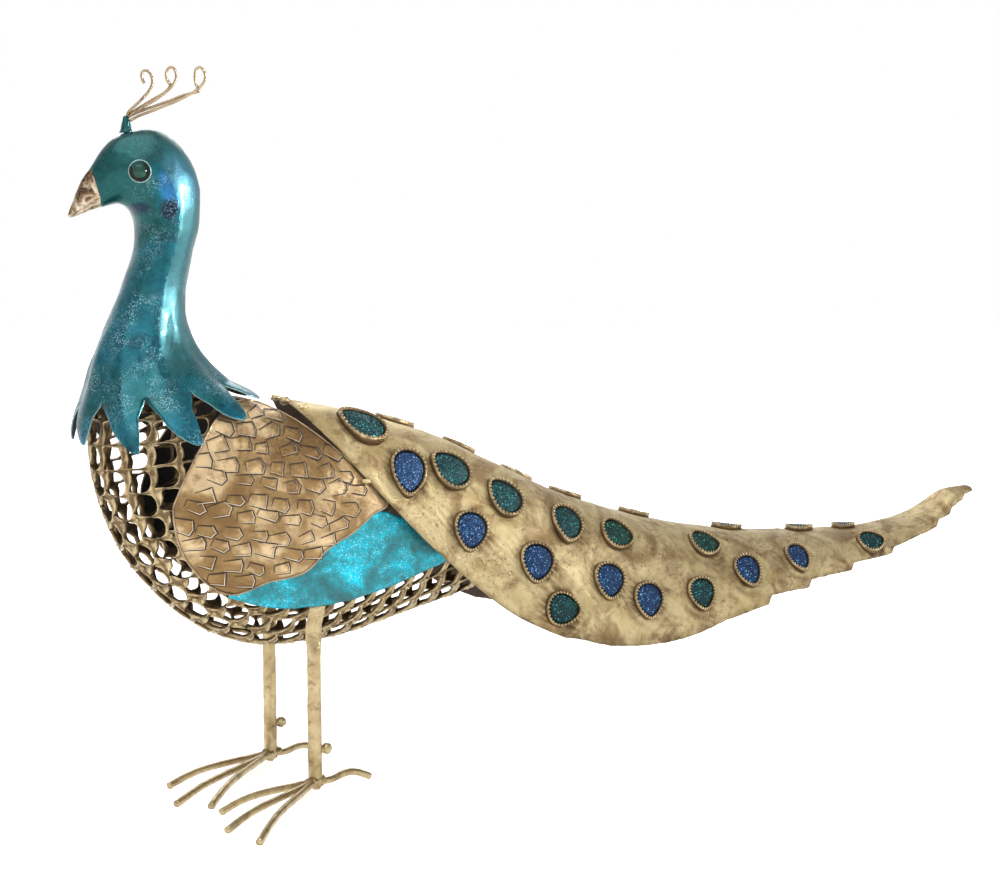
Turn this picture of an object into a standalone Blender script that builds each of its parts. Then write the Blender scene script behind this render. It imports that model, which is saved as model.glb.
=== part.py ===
"""A standing peacock of cut, bent and soldered sheet metal, openwork and rod.

Metres, +Z up. The beak points to -X, the tail to +X, and the bird's left side is -Y.
The origin is the bottom centre of the figure's box, on the floor that the toes stand on.
The free outlines are drawn in millimetres on a sheet DRAWN_LENGTH long and DRAWN_HEIGHT high,
and are taken as shares of LENGTH and HEIGHT. Walls, rods and gaps are real sizes.
"""

from itertools import product
from math import atan2, cos, hypot, pi, radians, sin, sqrt

import bmesh
import bpy
from mathutils import Vector
from mathutils.bvhtree import BVHTree

# Driving dimensions
LENGTH = 0.962
HEIGHT = 0.636
BODY_HALF_WIDTH = 0.081
TAIL_HALF_WIDTH = 0.106
DRAWN_LENGTH = 962.0
DRAWN_HEIGHT = 636.0

# Walls, gaps and reaches
GAP = 0.0003
SEAT_REACH = 0.03
NECK_WALL = 0.0018
WING_WALL = 0.0010
FLANK_WALL = 0.0008
TAIL_WALL = 0.0007
LATTICE_WALL = 0.0032

# Openwork body. HOLE is one hole's outline in shares of a cell: out from the middle line, then along it
CELL_LENGTH = 0.0325
CELL_BREADTH = 0.0290
LATTICE_STRAND = 0.0058
LATTICE_COLUMNS = 4
HOLE = [(-0.5, -0.46), (0.18, -0.5), (0.5, 0.0), (0.18, 0.5), (-0.5, 0.46)]
LATTICE_START = (-402, 366)
LATTICE_END = (-100, 170)
BODY_CENTRE = (-320, 250)
BODY_OUTLINE = [(-466, 335), (-468, 305), (-461, 264), (-444, 221), (-414, 180), (-375, 147),
                (-331, 129), (-290, 127), (-245, 131), (-183, 147), (-112, 166), (-62, 188),
                (-48, 208), (-75, 242), (-120, 272), (-176, 298), (-245, 322), (-315, 338),
                (-360, 354), (-402, 366), (-440, 364), (-459, 352)]

# Sheets laid over the body, from the openwork outwards
FLANK_LIFT = 0.0042
WING_LIFT = 0.0070
LEAF_LIFT = 0.0108
FLANK_ROWS = 4
FLANK_COLUMNS = 11
WING_RINGS = (0.4, 0.74, 1.0)
WING_STEPS = 2
WING_CENTRE = (-325, 265)
WING_OUTLINE = [(-412, 257), (-408, 276), (-391, 311), (-370, 338), (-340, 349), (-305, 336),
                (-262, 300), (-228, 262), (-243, 250), (-262, 236), (-284, 223), (-304, 204),
                (-335, 197), (-363, 187), (-386, 199), (-405, 226)]
FLANK_LOWER = [(-366, 184), (-334, 173), (-300, 170), (-262, 172), (-220, 182), (-165, 202)]
FLANK_UPPER = [(-362, 192), (-335, 206), (-302, 215), (-270, 240), (-238, 254), (-180, 228)]

# Head and neck: front or under edge, back or top edge, half width, as sections down the bird
NECK_SECTIONS = [((-453, 513), (-462, 545), 10.5), ((-439, 516), (-443, 570), 20),
                 ((-430, 511), (-412, 580), 27), ((-426, 500), (-388, 568), 30),
                 ((-426, 486), (-372, 541), 30.5), ((-430, 468), (-371, 503), 30),
                 ((-439, 443), (-379, 467), 29), ((-449, 420), (-384, 436), 30.5),
                 ((-460, 395), (-381, 410), 36), ((-468, 373), (-368, 386), 44),
                 ((-475, 350), (-348, 366), 57)]
NECK_COLUMNS = 20
NECK_RINGS = 11
LEAF_FRONT = (-482, 315)
LEAF_BACK = (-322, 352)
LEAF_HALF_WIDTH = 82
LEAF_DROOP = 22
LEAF_MIDDLE = 0.5
LEAF_BREADTH = 0.72
BEAK_SECTIONS = [((-453, 513), (-462, 545), 10.5), ((-461, 510.5), (-469, 535), 8),
                 ((-471, 506.5), (-476, 519), 4.5), ((-479.5, 503.5), (-481, 506), 1.5)]
BEAK_COLUMNS = 12
BEAK_RINGS = 5

# Eyes. Levels are shares of the radius and of the height
EYE_PLACE = (-425, 542)
EYE_RING_RADIUS = 0.0095
EYE_RING_BREADTH = 0.0016
EYE_RING_HEIGHT = 0.0020
EYE_RING_LEVELS = [(1.0, 0.6), (0.93, 1.0)]
EYE_RING_INNER_LEVEL = 0.8
EYE_GLASS_HEIGHT = 0.0048
EYE_GLASS_LEVELS = [(1.0, 0.25), (0.8, 0.7), (0.42, 1.0)]
EYE_SIDES = 10
EYE_LIFT = 0.0006

# Crest of folded wires
WIRE_RADIUS = 0.00125
WIRE_SIDES = 5
NUB_RADIUS = 0.0042
NUB_SIDES = 8
NUB_FOOT = (-431, 577.5)
NUB_TOP = (-431, 590)
CREST_WIRES = {
    "crest_wire_front": ([(-430, 593), (-419, 602), (-410, 612), (-407, 620)], (-412, 625)),
    "crest_wire_middle": ([(-425, 593), (-411, 602), (-395, 614), (-388, 624)], (-392, 629.5)),
    "crest_wire_back": ([(-423.5, 589), (-402, 599), (-378, 612), (-364, 624)], (-368.5, 631)),
}
LOOP_RADIUS = 0.0042
LOOP_POINTS = 5
LOOP_FROM = radians(40)
LOOP_STEP = radians(50)

# Tail train
TAIL_ARCH = radians(78)
TAIL_ROUNDNESS = 0.74
TAIL_STEPS_ROUND = 14
TAIL_TOP = [(-320, 350), (-300, 348), (-245, 337), (-176, 318), (-112, 290), (-35, 253),
            (38, 229), (110, 211), (190, 199), (260, 194.5), (334, 193.5), (380, 197),
            (410, 204.5), (432, 215.5), (452, 227.5), (481, 231)]
TAIL_LOW = [(-140, 130), (-67, 130), (-20, 118), (30, 113), (75, 116), (120, 127), (175, 144),
            (233, 155), (294, 166), (348, 176), (385, 187), (416, 197), (441, 209), (463, 222),
            (481, 226)]
TAIL_PLAN = [(-320, 1.0), (-100, 1.0), (0, 0.94), (150, 0.74), (300, 0.48), (400, 0.30), (481, 0.10)]
TAIL_FRONT = [(-303, 349), (-265, 305), (-235, 268), (-183, 212), (-121, 158), (-64, 129)]
PLAIN_COLUMNS = 8
TEETH_FROM = 118
TOOTH_TIPS = [174, 229, 289, 348, 419, 441, 463]
TOOTH_DEPTH = 8.0
TOOTH_STEP = 0.008
TOOTH_FADE = 0.5

# Jewels: place along the tail, degrees round the arch from the ridge, length, breadth, turn, colour
JEWEL_HEIGHT = 0.0048
JEWEL_RIM = 0.0022
JEWEL_RIM_HEIGHT = 0.0032
STONE_TOP = 0.72
PEAR_TAPER = 0.22
JEWEL_SIDES = 8
FOOT_STEPS = 4
SKIN_STEP = 0.004
TURN_STEP = 0.04
JEWELS_LEFT = [(-237, 16, 48, 40, 145, "teal"), (-205, 34, 46, 34, -90, "blue"),
               (-162, 29, 42, 37, 150, "teal"), (-111, 33, 40, 36, 140, "teal"),
               (-153, 49, 37, 33, -90, "blue"), (-90, 55, 37, 34, -90, "blue"),
               (-68, 69, 35, 31, 0, "teal"), (-49, 35, 40, 35, -90, "teal"),
               (8, 32, 36, 34, 0, "green"), (-14, 55, 35, 34, -90, "blue"),
               (28, 61, 35, 33, -90, "blue"), (113, 29, 34, 32, 0, "green"),
               (91, 60, 32, 31, -90, "teal"), (152, 53, 33, 31, -90, "blue"),
               (219, 50, 31, 28, -90, "blue"), (323, 49, 34, 26, 0, "teal")]
JEWELS_RIGHT = [(-189, 2, 38, 32, 0, "teal"), (-125, 2, 34, 30, 0, "blue"),
                (-65, 2, 34, 30, 0, "teal"), (-12, 2, 34, 30, 0, "green"),
                (65, 2, 32, 28, 0, "teal"), (174, 2, 32, 28, 0, "blue"),
                (263, 2, 30, 24, 0, "teal"), (-180, 38, 44, 34, 90, "blue"),
                (-112, 38, 40, 35, 40, "teal"), (-128, 60, 36, 33, 90, "blue"),
                (-44, 45, 38, 34, 90, "teal"), (22, 50, 35, 33, 90, "blue"),
                (104, 48, 33, 31, 0, "green"), (188, 48, 32, 28, 90, "blue"),
                (320, 3, 26, 20, 0, "blue")]

# Legs and feet
LEG_RADIUS = 0.0062
LEG_SIDES = 8
LEG_PLACE_LEFT = (-287, 50)
LEG_PLACE_RIGHT = (-300, 50)
LEG_FOOT = 16
LEG_SHOULDER = 125
TAB_TOP = 170
TAB_WIDTH = 0.0150
TAB_THICKNESS = 0.0026
TAB_LIFT = 0.0010
TAB_SHARES = (0.3, 0.5, 0.75, 1.0)
HUB_BOTTOM = 0.0019
TOE_RADIUS = 0.0031
TOE_SIDES = 6
TOE_LEVEL = 9.5
TOE_SHAPE = [(0.5, 1.0), (0.86, 0.85)]
TOE_SPREAD = 0.001
TOE_STAGGER = 0.0004
SPUR_RADIUS = 0.0050
SPUR_RINGS = 5
SPUR_SIDES = 8
SPUR_LEVEL = 38
TOES_LEFT = [(-93, -30), (-99, -76), (-82, -114), (56, 14)]
TOES_RIGHT = [(-106, -42), (-110, -94), (-84, -112), (52, 10)]

# Fineness of the lines that the outlines become
BODY_STEPS = 5
SHEET_STEPS = 4
SECTION_STEPS = 6
RUN_POINTS = 200
GIRTH_STEPS = 60
HALVINGS = 40
SHARP_ANGLE = radians(40)
PARALLEL = 0.2


def drawn(x, z):
    """A point of the drawing sheet, in metres."""
    return x * LENGTH / DRAWN_LENGTH, z * HEIGHT / DRAWN_HEIGHT


def drawn_width(share):
    """A crosswise size of the drawing sheet, in metres."""
    return share * LENGTH / DRAWN_LENGTH


def blend(a, b, c, d, t):
    """Catmull-Rom value between b and c."""
    return 0.5 * (2 * b + (c - a) * t + (2 * a - 5 * b + 4 * c - d) * t ** 2
                  + (3 * b - a - 3 * c + d) * t ** 3)


def smooth_line(points, per_span, closed=False):
    """A smooth line through tuples of any size, per_span steps to each span."""
    count = len(points)
    spans = count if closed else count - 1
    line = []
    for i in range(spans):
        if closed:
            four = [points[(i + k) % count] for k in (-1, 0, 1, 2)]
        else:
            four = [points[min(max(i + k, 0), count - 1)] for k in (-1, 0, 1, 2)]
        for step in range(per_span):
            line.append(tuple(blend(*column, step / per_span) for column in zip(*four)))
    if not closed:
        line.append(tuple(points[-1]))
    return line


def even_points(line, count):
    """count points at equal distances along a line, its ends among them."""
    lengths = [0.0]
    for a, b in zip(line, line[1:]):
        lengths.append(lengths[-1] + sqrt(sum((q - p) ** 2 for p, q in zip(a, b))))
    points = []
    k = 0
    for i in range(count):
        want = lengths[-1] * i / (count - 1)
        while k < len(line) - 2 and lengths[k + 1] < want:
            k += 1
        t = (want - lengths[k]) / (lengths[k + 1] - lengths[k])
        points.append(tuple(p + (q - p) * t for p, q in zip(line[k], line[k + 1])))
    return points


def value_at(line, x):
    """The second value of a line whose first value rises, read at x."""
    for a, b in zip(line, line[1:]):
        if x <= b[0]:
            t = max(0.0, (x - a[0]) / (b[0] - a[0]))
            return a[1] + (b[1] - a[1]) * t
    return line[-1][1]


def material(name, colour, roughness, metallic):
    mat = bpy.data.materials.new(name)
    mat.use_nodes = True
    shader = mat.node_tree.nodes["Principled BSDF"]
    shader.inputs["Base Color"].default_value = (*colour, 1.0)
    shader.inputs["Roughness"].default_value = roughness
    shader.inputs["Metallic"].default_value = metallic
    return mat


def piece(name, verts, faces, mat, wall=0.0, inside=(0, 0, 0)):
    """A named object from points and faces that face away from inside; a skin gets a wall."""
    mesh = bpy.data.meshes.new(name)
    mesh.from_pydata([tuple(v) for v in verts], [], faces)
    form = bmesh.new()
    form.from_mesh(mesh)
    bmesh.ops.recalc_face_normals(form, faces=form.faces)
    core = Vector(inside)
    if wall and sum((f.calc_center_median() - core).dot(f.normal) * f.calc_area()
                    for f in form.faces) < 0:
        bmesh.ops.reverse_faces(form, faces=form.faces)
    form.to_mesh(mesh)
    form.free()
    mesh.shade_smooth()
    mesh.set_sharp_from_angle(angle=SHARP_ANGLE)
    mesh.materials.append(mat)
    obj = bpy.data.objects.new(name, mesh)
    bpy.context.collection.objects.link(obj)
    obj.parent = FIGURE
    if wall:
        skin = obj.modifiers.new("wall", "SOLIDIFY")
        skin.thickness = wall
        skin.offset = -1.0
    return obj


def ring_faces(rings, columns, closed=True):
    """Quads between rings of equal size, stored one after another."""
    faces = []
    for r in range(rings - 1):
        for c in range(columns if closed else columns - 1):
            d = (c + 1) % columns
            low, high = r * columns, (r + 1) * columns
            faces.append((low + c, low + d, high + d, high + c))
    return faces


def swept_tube(path, radii, sides, flat=None):
    """Points and faces of a closed rod along a path; flat gives a radius pair for each point."""
    verts = []
    side_axis = None
    for i, here in enumerate(path):
        ahead = path[min(i + 1, len(path) - 1)]
        behind = path[max(i - 1, 0)]
        along = (ahead - behind).normalized()
        if side_axis is None:
            side_axis = along.cross(Vector((0, 1, 0)))
            if side_axis.length < PARALLEL:
                side_axis = along.cross(Vector((1, 0, 0)))
        side_axis = (side_axis - along * side_axis.dot(along)).normalized()
        other = along.cross(side_axis)
        wide, deep = flat[i] if flat else (radii, radii)
        for k in range(sides):
            turn = 2 * pi * (k + 0.5) / sides
            verts.append(here + side_axis * (wide * cos(turn)) + other * (deep * sin(turn)))
    faces = ring_faces(len(path), sides)
    faces.append(tuple(range(sides))[::-1])
    faces.append(tuple(range(len(verts) - sides, len(verts))))
    return verts, faces


def body_line():
    """The body's closed outline on its middle plane, in metres."""
    return [drawn(x, z) for x, z in smooth_line(BODY_OUTLINE, BODY_STEPS, closed=True)]


def side_of_body(x, z, lift):
    """Distance of the body's side from the middle plane at (x, z), raised by lift."""
    cx, cz = drawn(*BODY_CENTRE)
    dx, dz = x - cx, z - cz
    turn = atan2(dz, dx)
    for (ax, az), (bx, bz) in zip(BODY_LINE, BODY_LINE[1:] + BODY_LINE[:1]):
        left = atan2(az - cz, ax - cx) - turn
        right = atan2(bz - cz, bx - cx) - turn
        left = (left + pi) % (2 * pi) - pi
        right = (right + pi) % (2 * pi) - pi
        if left * right <= 0 and abs(left - right) < pi / 2:
            share = left / (left - right) if left != right else 0.0
            edge = hypot(ax + (bx - ax) * share - cx, az + (bz - az) * share - cz)
            part = min(hypot(dx, dz) / (edge + lift), 1.0)
            return (BODY_HALF_WIDTH + lift) * sqrt(1 - part ** 2)
    return 0.0


def openwork_point(along, girth):
    """A point of the body's skin: along the middle line, then girth round it, both in metres."""
    index = min(max(along / LATTICE_RUN, 0.0), 1.0) * (len(LATTICE_LINE) - 1)
    low = min(int(index), len(LATTICE_LINE) - 2)
    t = index - low
    (ax, az), (bx, bz) = LATTICE_LINE[low], LATTICE_LINE[low + 1]
    ox, oz = ax + (bx - ax) * t, az + (bz - az) * t
    cx, cz = drawn(*BODY_CENTRE)
    turn = value_at(GIRTH_LINE, abs(girth))
    side = 1 if girth > 0 else -1
    return Vector((cx + (ox - cx) * cos(turn), side * BODY_HALF_WIDTH * sin(turn),
                   cz + (oz - cz) * cos(turn)))


def lattice_run():
    """The stretch of the body's outline that the openwork covers, from the collar to the rear."""
    line = body_line()
    start, end = drawn(*LATTICE_START), drawn(*LATTICE_END)
    first = min(range(len(line)), key=lambda k: hypot(line[k][0] - start[0], line[k][1] - start[1]))
    line = line[first:] + line[:first]
    last = min(range(len(line)), key=lambda k: hypot(line[k][0] - end[0], line[k][1] - end[1]))
    return even_points(line[:last + 1], RUN_POINTS)


def girth_line():
    """Pairs of girth length and angle round a mean section of the body."""
    cx, cz = drawn(*BODY_CENTRE)
    mean = sum(hypot(x - cx, z - cz) for x, z in LATTICE_LINE) / len(LATTICE_LINE)
    step = pi / 2 / GIRTH_STEPS
    pairs = [(0.0, 0.0)]
    for i in range(GIRTH_STEPS):
        turn = (i + 0.5) * step
        stretch = hypot(mean * sin(turn), BODY_HALF_WIDTH * cos(turn))
        pairs.append((pairs[-1][0] + stretch * step, (i + 1) * step))
    return pairs


def make_openwork(mat):
    """Openwork in even rows and columns of cells, each with a hole that is round at its outer side."""
    rows = round(LATTICE_RUN / CELL_LENGTH)
    length = LATTICE_RUN / rows
    open_breadth, open_length = CELL_BREADTH - LATTICE_STRAND, length - LATTICE_STRAND
    verts, faces, corners = [], [], {}

    def corner(row, column):
        if (row, column) not in corners:
            corners[row, column] = len(verts)
            verts.append(openwork_point(row * length, column * CELL_BREADTH))
        return corners[row, column]

    for side, column, row in product((-1, 1), range(LATTICE_COLUMNS), range(rows)):
        near, far = side * column, side * (column + 1)
        a, b = corner(row, near), corner(row, far)
        c, d = corner(row + 1, far), corner(row + 1, near)
        e, f, g, h, i = range(len(verts), len(verts) + len(HOLE))
        middle = ((row + 0.5) * length, (column + 0.5) * CELL_BREADTH)
        verts += [openwork_point(middle[0] + v * open_length, side * (middle[1] + u * open_breadth))
                  for u, v in HOLE]
        faces += [(a, b, f), (a, f, e), (b, g, f), (b, c, g), (c, h, g), (c, d, h), (d, i, h),
                  (d, a, e), (d, e, i)]
    cx, cz = drawn(*BODY_CENTRE)
    return piece("body_openwork", verts, faces, mat, LATTICE_WALL, (cx, 0, cz))


def tail_point(x, turn):
    """A point of the tail's outer skin: x along the bird, turn round the arch from the ridge."""
    wide = TAIL_HALF_WIDTH * value_at(TAIL_PLAN_LINE, x)
    top, low = value_at(TAIL_TOP_LINE, x), value_at(TAIL_LOW_LINE, x)
    drop = (1 - cos(turn)) / (1 - cos(TAIL_ARCH))
    out = (abs(sin(turn)) / sin(TAIL_ARCH)) ** TAIL_ROUNDNESS
    return Vector((x, wide * out * (1 if turn > 0 else -1), top - (top - low) * drop))


def tail_start(turn):
    """Where the slanting front edge of the tail crosses the line at turn."""
    low, high = TAIL_FRONT_LINE[0][0], TAIL_FRONT_LINE[-1][0]
    for _ in range(HALVINGS):
        middle = (low + high) / 2
        if tail_point(middle, turn).z > value_at(TAIL_FRONT_LINE, middle):
            high = middle
        else:
            low = middle
    return (low + high) / 2


def tail_columns():
    """Shares along the lower edge, each with the depth of the feather tooth there."""
    start = TAIL_FRONT_LINE[-1][0]
    end = TAIL_TOP_LINE[-1][0]
    first = (drawn(TEETH_FROM, 0)[0] - start) / (end - start)
    columns = [(first * i / PLAIN_COLUMNS, 0.0) for i in range(PLAIN_COLUMNS + 1)]
    for number, tip in enumerate(TOOTH_TIPS):
        place = (drawn(tip, 0)[0] - start) / (end - start)
        depth = drawn(0, TOOTH_DEPTH)[1] * (1 - TOOTH_FADE * number / len(TOOTH_TIPS))
        columns.append((place, depth))
        columns.append((place + TOOTH_STEP, 0.0))
    columns.append((1.0, 0.0))
    return columns


def make_tail(mat):
    """The train: an arch of sheet from a slanting front edge back to a ragged tip."""
    half = TAIL_STEPS_ROUND // 2
    turns = [TAIL_ARCH * k / half for k in range(-half, half + 1)]
    end = TAIL_TOP_LINE[-1][0]
    verts = []
    for share, depth in tail_columns():
        for turn in turns:
            start = tail_start(abs(turn))
            point = tail_point(start + (end - start) * share, turn)
            if abs(turn) == TAIL_ARCH:
                point.z -= depth
            verts.append(point)
    faces = ring_faces(len(verts) // len(turns), len(turns), closed=False)
    return piece("tail_train", verts, faces, mat, TAIL_WALL, (0, 0, 0))


def wing_skin(x, z, lift, side):
    return Vector((x, side * side_of_body(x, z, lift), z))


def make_wing(name, side, mat):
    """A wing sheet: rings from its middle out to its wavy edge, over the body's side."""
    cx, cz = drawn(*WING_CENTRE)
    rim = [drawn(x, z) for x, z in smooth_line(WING_OUTLINE, WING_STEPS, closed=True)]
    verts = [wing_skin(cx, cz, WING_LIFT, side)]
    for share in WING_RINGS:
        verts += [wing_skin(cx + (x - cx) * share, cz + (z - cz) * share, WING_LIFT, side)
                  for x, z in rim]
    count = len(rim)
    faces = [(0, 1 + k, 1 + (k + 1) % count) for k in range(count)]
    faces += [tuple(v + 1 for v in face) for face in ring_faces(len(WING_RINGS), count)]
    return piece(name, verts, faces, mat, WING_WALL, (cx, 0, cz))


def make_flank(name, side, mat):
    """A flank sheet between its lower edge and an upper edge tucked under the wing."""
    lower = even_points([drawn(*p) for p in smooth_line(FLANK_LOWER, SHEET_STEPS)], FLANK_COLUMNS)
    upper = even_points([drawn(*p) for p in smooth_line(FLANK_UPPER, SHEET_STEPS)], FLANK_COLUMNS)
    verts = []
    for row in range(FLANK_ROWS + 1):
        share = row / FLANK_ROWS
        verts += [wing_skin(lx + (ux - lx) * share, lz + (uz - lz) * share, FLANK_LIFT, side)
                  for (lx, lz), (ux, uz) in zip(lower, upper)]
    faces = ring_faces(FLANK_ROWS + 1, FLANK_COLUMNS, closed=False)
    cx, cz = drawn(*BODY_CENTRE)
    return piece(name, verts, faces, mat, FLANK_WALL, (cx, 0, cz))


def section_ring(section, columns):
    """Points round one section, from its under edge; each section leans with the neck."""
    (ax, az), (bx, bz), wide = section
    ax, az = drawn(ax, az)
    bx, bz = drawn(bx, bz)
    middle = Vector(((ax + bx) / 2, 0, (az + bz) / 2))
    under = Vector((ax, 0, az)) - middle
    return [middle + under * cos(2 * pi * k / columns)
            + Vector((0, drawn_width(wide) * sin(2 * pi * k / columns), 0)) for k in range(columns)]


def flat_sections(sections, count):
    """count sections at equal distances along the smooth run of a list of sections."""
    line = smooth_line([(*a, *b, w) for a, b, w in sections], SECTION_STEPS)
    return [((s[0], s[1]), (s[2], s[3]), s[4]) for s in even_points(line, count)]


def leaf_point(turn, share, ring_point):
    """A point of a collar leaf's middle line, share of the way from the neck to its tip."""
    fx, fz = drawn(*LEAF_FRONT)
    bx, bz = drawn(*LEAF_BACK)
    tip = Vector(((fx + bx) / 2 + (fx - bx) / 2 * cos(turn),
                  drawn_width(LEAF_HALF_WIDTH) * sin(turn),
                  (fz + bz) / 2 + (fz - bz) / 2 * cos(turn)
                  - drawn(0, LEAF_DROOP)[1] * sin(turn) ** 2))
    return ring_point.lerp(tip, share)


def clear_of_wing(point):
    """The point moved out, if it must, to lie over the wing and not in it."""
    reach = side_of_body(point.x, point.z, LEAF_LIFT)
    if 0 < abs(point.y) < reach and reach > LEAF_LIFT * 3:
        point.y = reach if point.y > 0 else -reach
    return point


def make_neck(mat):
    """Head and neck as one hollow form that ends below in pointed leaves, with an open foot."""
    verts = []
    for section in flat_sections(NECK_SECTIONS, NECK_RINGS):
        verts += section_ring(section, NECK_COLUMNS)
    faces = ring_faces(NECK_RINGS, NECK_COLUMNS)
    faces.append(tuple(range(NECK_COLUMNS)))
    base = (NECK_RINGS - 1) * NECK_COLUMNS
    for leaf in range(NECK_COLUMNS // 2):
        left, mid = base + 2 * leaf, base + 2 * leaf + 1
        right = base + (2 * leaf + 2) % NECK_COLUMNS
        turn = 2 * pi * (2 * leaf + 1) / NECK_COLUMNS
        half = 2 * pi / NECK_COLUMNS
        spots = len(verts)
        for side, share, root in ((-1, LEAF_MIDDLE, left), (0, LEAF_MIDDLE, mid),
                                  (1, LEAF_MIDDLE, right), (0, 1.0, mid)):
            spot = leaf_point(turn + side * half * LEAF_BREADTH, share, verts[root])
            verts.append(clear_of_wing(spot))
        faces += [(left, mid, spots + 1, spots), (mid, right, spots + 2, spots + 1),
                  (spots, spots + 1, spots + 3), (spots + 1, spots + 2, spots + 3)]
    middle = sum((v for v in verts[base:base + NECK_COLUMNS]), Vector()) / NECK_COLUMNS
    return piece("neck_and_head", verts, faces, mat, NECK_WALL, middle)


def make_beak(mat):
    rings = flat_sections(BEAK_SECTIONS, BEAK_RINGS)
    verts = []
    for section in rings:
        verts += section_ring(section, BEAK_COLUMNS)
    outward = (verts[-1] - verts[0]).normalized()
    for point in verts[:BEAK_COLUMNS]:
        point += outward * GAP * 2
    faces = ring_faces(len(rings), BEAK_COLUMNS)
    faces.append(tuple(range(BEAK_COLUMNS)))
    faces.append(tuple(range(len(verts) - BEAK_COLUMNS, len(verts))))
    return piece("beak", verts, faces, mat)


def surface_of(obj):
    """A search tree over an object's evaluated mesh."""
    bpy.context.view_layer.update()
    return BVHTree.FromObject(obj, bpy.context.evaluated_depsgraph_get())


def seated(tree, spot, out, lift):
    """The point on a surface under spot, looking back along out, raised by lift."""
    hit = tree.ray_cast(spot + out * SEAT_REACH, -out)
    place = hit[0] if hit[0] is not None else spot
    return place + out * lift


def rise_to_clear(tree, foot, middle, out):
    """How far a foot rises so that its flat faces clear the surface between its own points."""
    rise = 0.0
    for a, b in zip(foot, foot[1:] + foot[:1]):
        for i in range(FOOT_STEPS + 1):
            for j in range(FOOT_STEPS + 1 - i):
                spot = middle + (a - middle) * (i / FOOT_STEPS) + (b - middle) * (j / FOOT_STEPS)
                rise = max(rise, (seated(tree, spot, out, GAP) - spot).dot(out))
    return rise


def make_boss(name, tree, spot, out, axis, outline, levels, mat, hole=0.0, lift=GAP):
    """A low boss that follows the surface under it: outline, then (share, height) levels."""
    other = out.cross(axis).normalized()
    foot = [seated(tree, spot + axis * u + other * v, out, lift) for u, v in outline]
    middle = seated(tree, spot, out, lift)
    if not hole:
        rise = out * rise_to_clear(tree, foot, middle, out)
        foot = [p + rise for p in foot]
        middle += rise
    base = max((p - spot).dot(out) for p in foot)
    count = len(outline)
    verts = list(foot)
    for share, height in levels:
        verts += [spot + axis * (u * share) + other * (v * share) + out * (base + height)
                  for u, v in outline]
    if hole:
        verts += [seated(tree, spot + axis * (u * hole) + other * (v * hole), out, lift)
                  for u, v in outline]
        rings = len(levels) + 2
        faces = ring_faces(rings, count)
        faces += [(k, (k + 1) % count, (rings - 1) * count + (k + 1) % count,
                   (rings - 1) * count + k) for k in range(count)]
    else:
        faces = ring_faces(len(levels) + 1, count)
        faces.append(tuple(range(len(verts) - count, len(verts))))
        faces += [((k + 1) % count, k, len(verts)) for k in range(count)]
        verts.append(middle)
    return piece(name, verts, faces, mat)


def make_eye(side, word, head, gold, glass):
    """A gold ring with a glass dome inside it, on one side of the head."""
    x, z = drawn(*EYE_PLACE)
    out = Vector((0, side, 0))
    hit = head.ray_cast(Vector((x, side, z)), -out)
    out = hit[1].normalized()
    axis = Vector((1, 0, 0)) - out * out.x
    turns = [2 * pi * k / EYE_SIDES for k in range(EYE_SIDES)]
    circle = [(EYE_RING_RADIUS * cos(turn), EYE_RING_RADIUS * sin(turn)) for turn in turns]
    inner = 1 - EYE_RING_BREADTH / EYE_RING_RADIUS
    levels = [(share, EYE_RING_HEIGHT * height) for share, height in EYE_RING_LEVELS]
    levels.append((inner, EYE_RING_HEIGHT * EYE_RING_INNER_LEVEL))
    axis.normalize()
    make_boss("eye_ring_" + word, head, hit[0], out, axis, circle, levels, gold, inner, EYE_LIFT)
    small = inner - 2 * GAP / EYE_RING_RADIUS
    circle = [(u * small, v * small) for u, v in circle]
    levels = [(share, EYE_GLASS_HEIGHT * height) for share, height in EYE_GLASS_LEVELS]
    make_boss("eye_glass_" + word, head, hit[0], out, axis, circle, levels, glass, lift=EYE_LIFT)


def pear(length, breadth, turn):
    """A pear-shaped outline, broad at one end; turn swings it on the surface."""
    outline = []
    for k in range(JEWEL_SIDES):
        angle = 2 * pi * k / JEWEL_SIDES
        u = length / 2 * cos(angle)
        v = breadth / 2 * sin(angle) * (1 - PEAR_TAPER * cos(angle))
        outline.append((u * cos(turn) - v * sin(turn), u * sin(turn) + v * cos(turn)))
    return outline


def make_jewels(tree, stones):
    """Stones in their bezels, each seated on the tail's skin."""
    for word, side, places in (("left", -1, JEWELS_LEFT), ("right", 1, JEWELS_RIGHT)):
        for number, (place, degrees, length, breadth, turn, colour) in enumerate(places, 1):
            x = drawn(place, 0)[0]
            angle = side * radians(degrees)
            spot = tail_point(x, angle)
            along = (tail_point(x + SKIN_STEP, angle) - tail_point(x - SKIN_STEP, angle)).normalized()
            down = tail_point(x, angle + side * TURN_STEP) - tail_point(x, angle - side * TURN_STEP)
            out = (along.cross(down) * side).normalized()
            size = (drawn_width(length), drawn_width(breadth))
            rim = 1 - 2 * JEWEL_RIM / min(size)
            make_boss(f"jewel_{word}_{number:02d}", tree, spot, out, along,
                      pear(*size, radians(turn)),
                      [(1.0, JEWEL_RIM_HEIGHT), (rim * STONE_TOP, JEWEL_HEIGHT)],
                      stones[colour])


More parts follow.
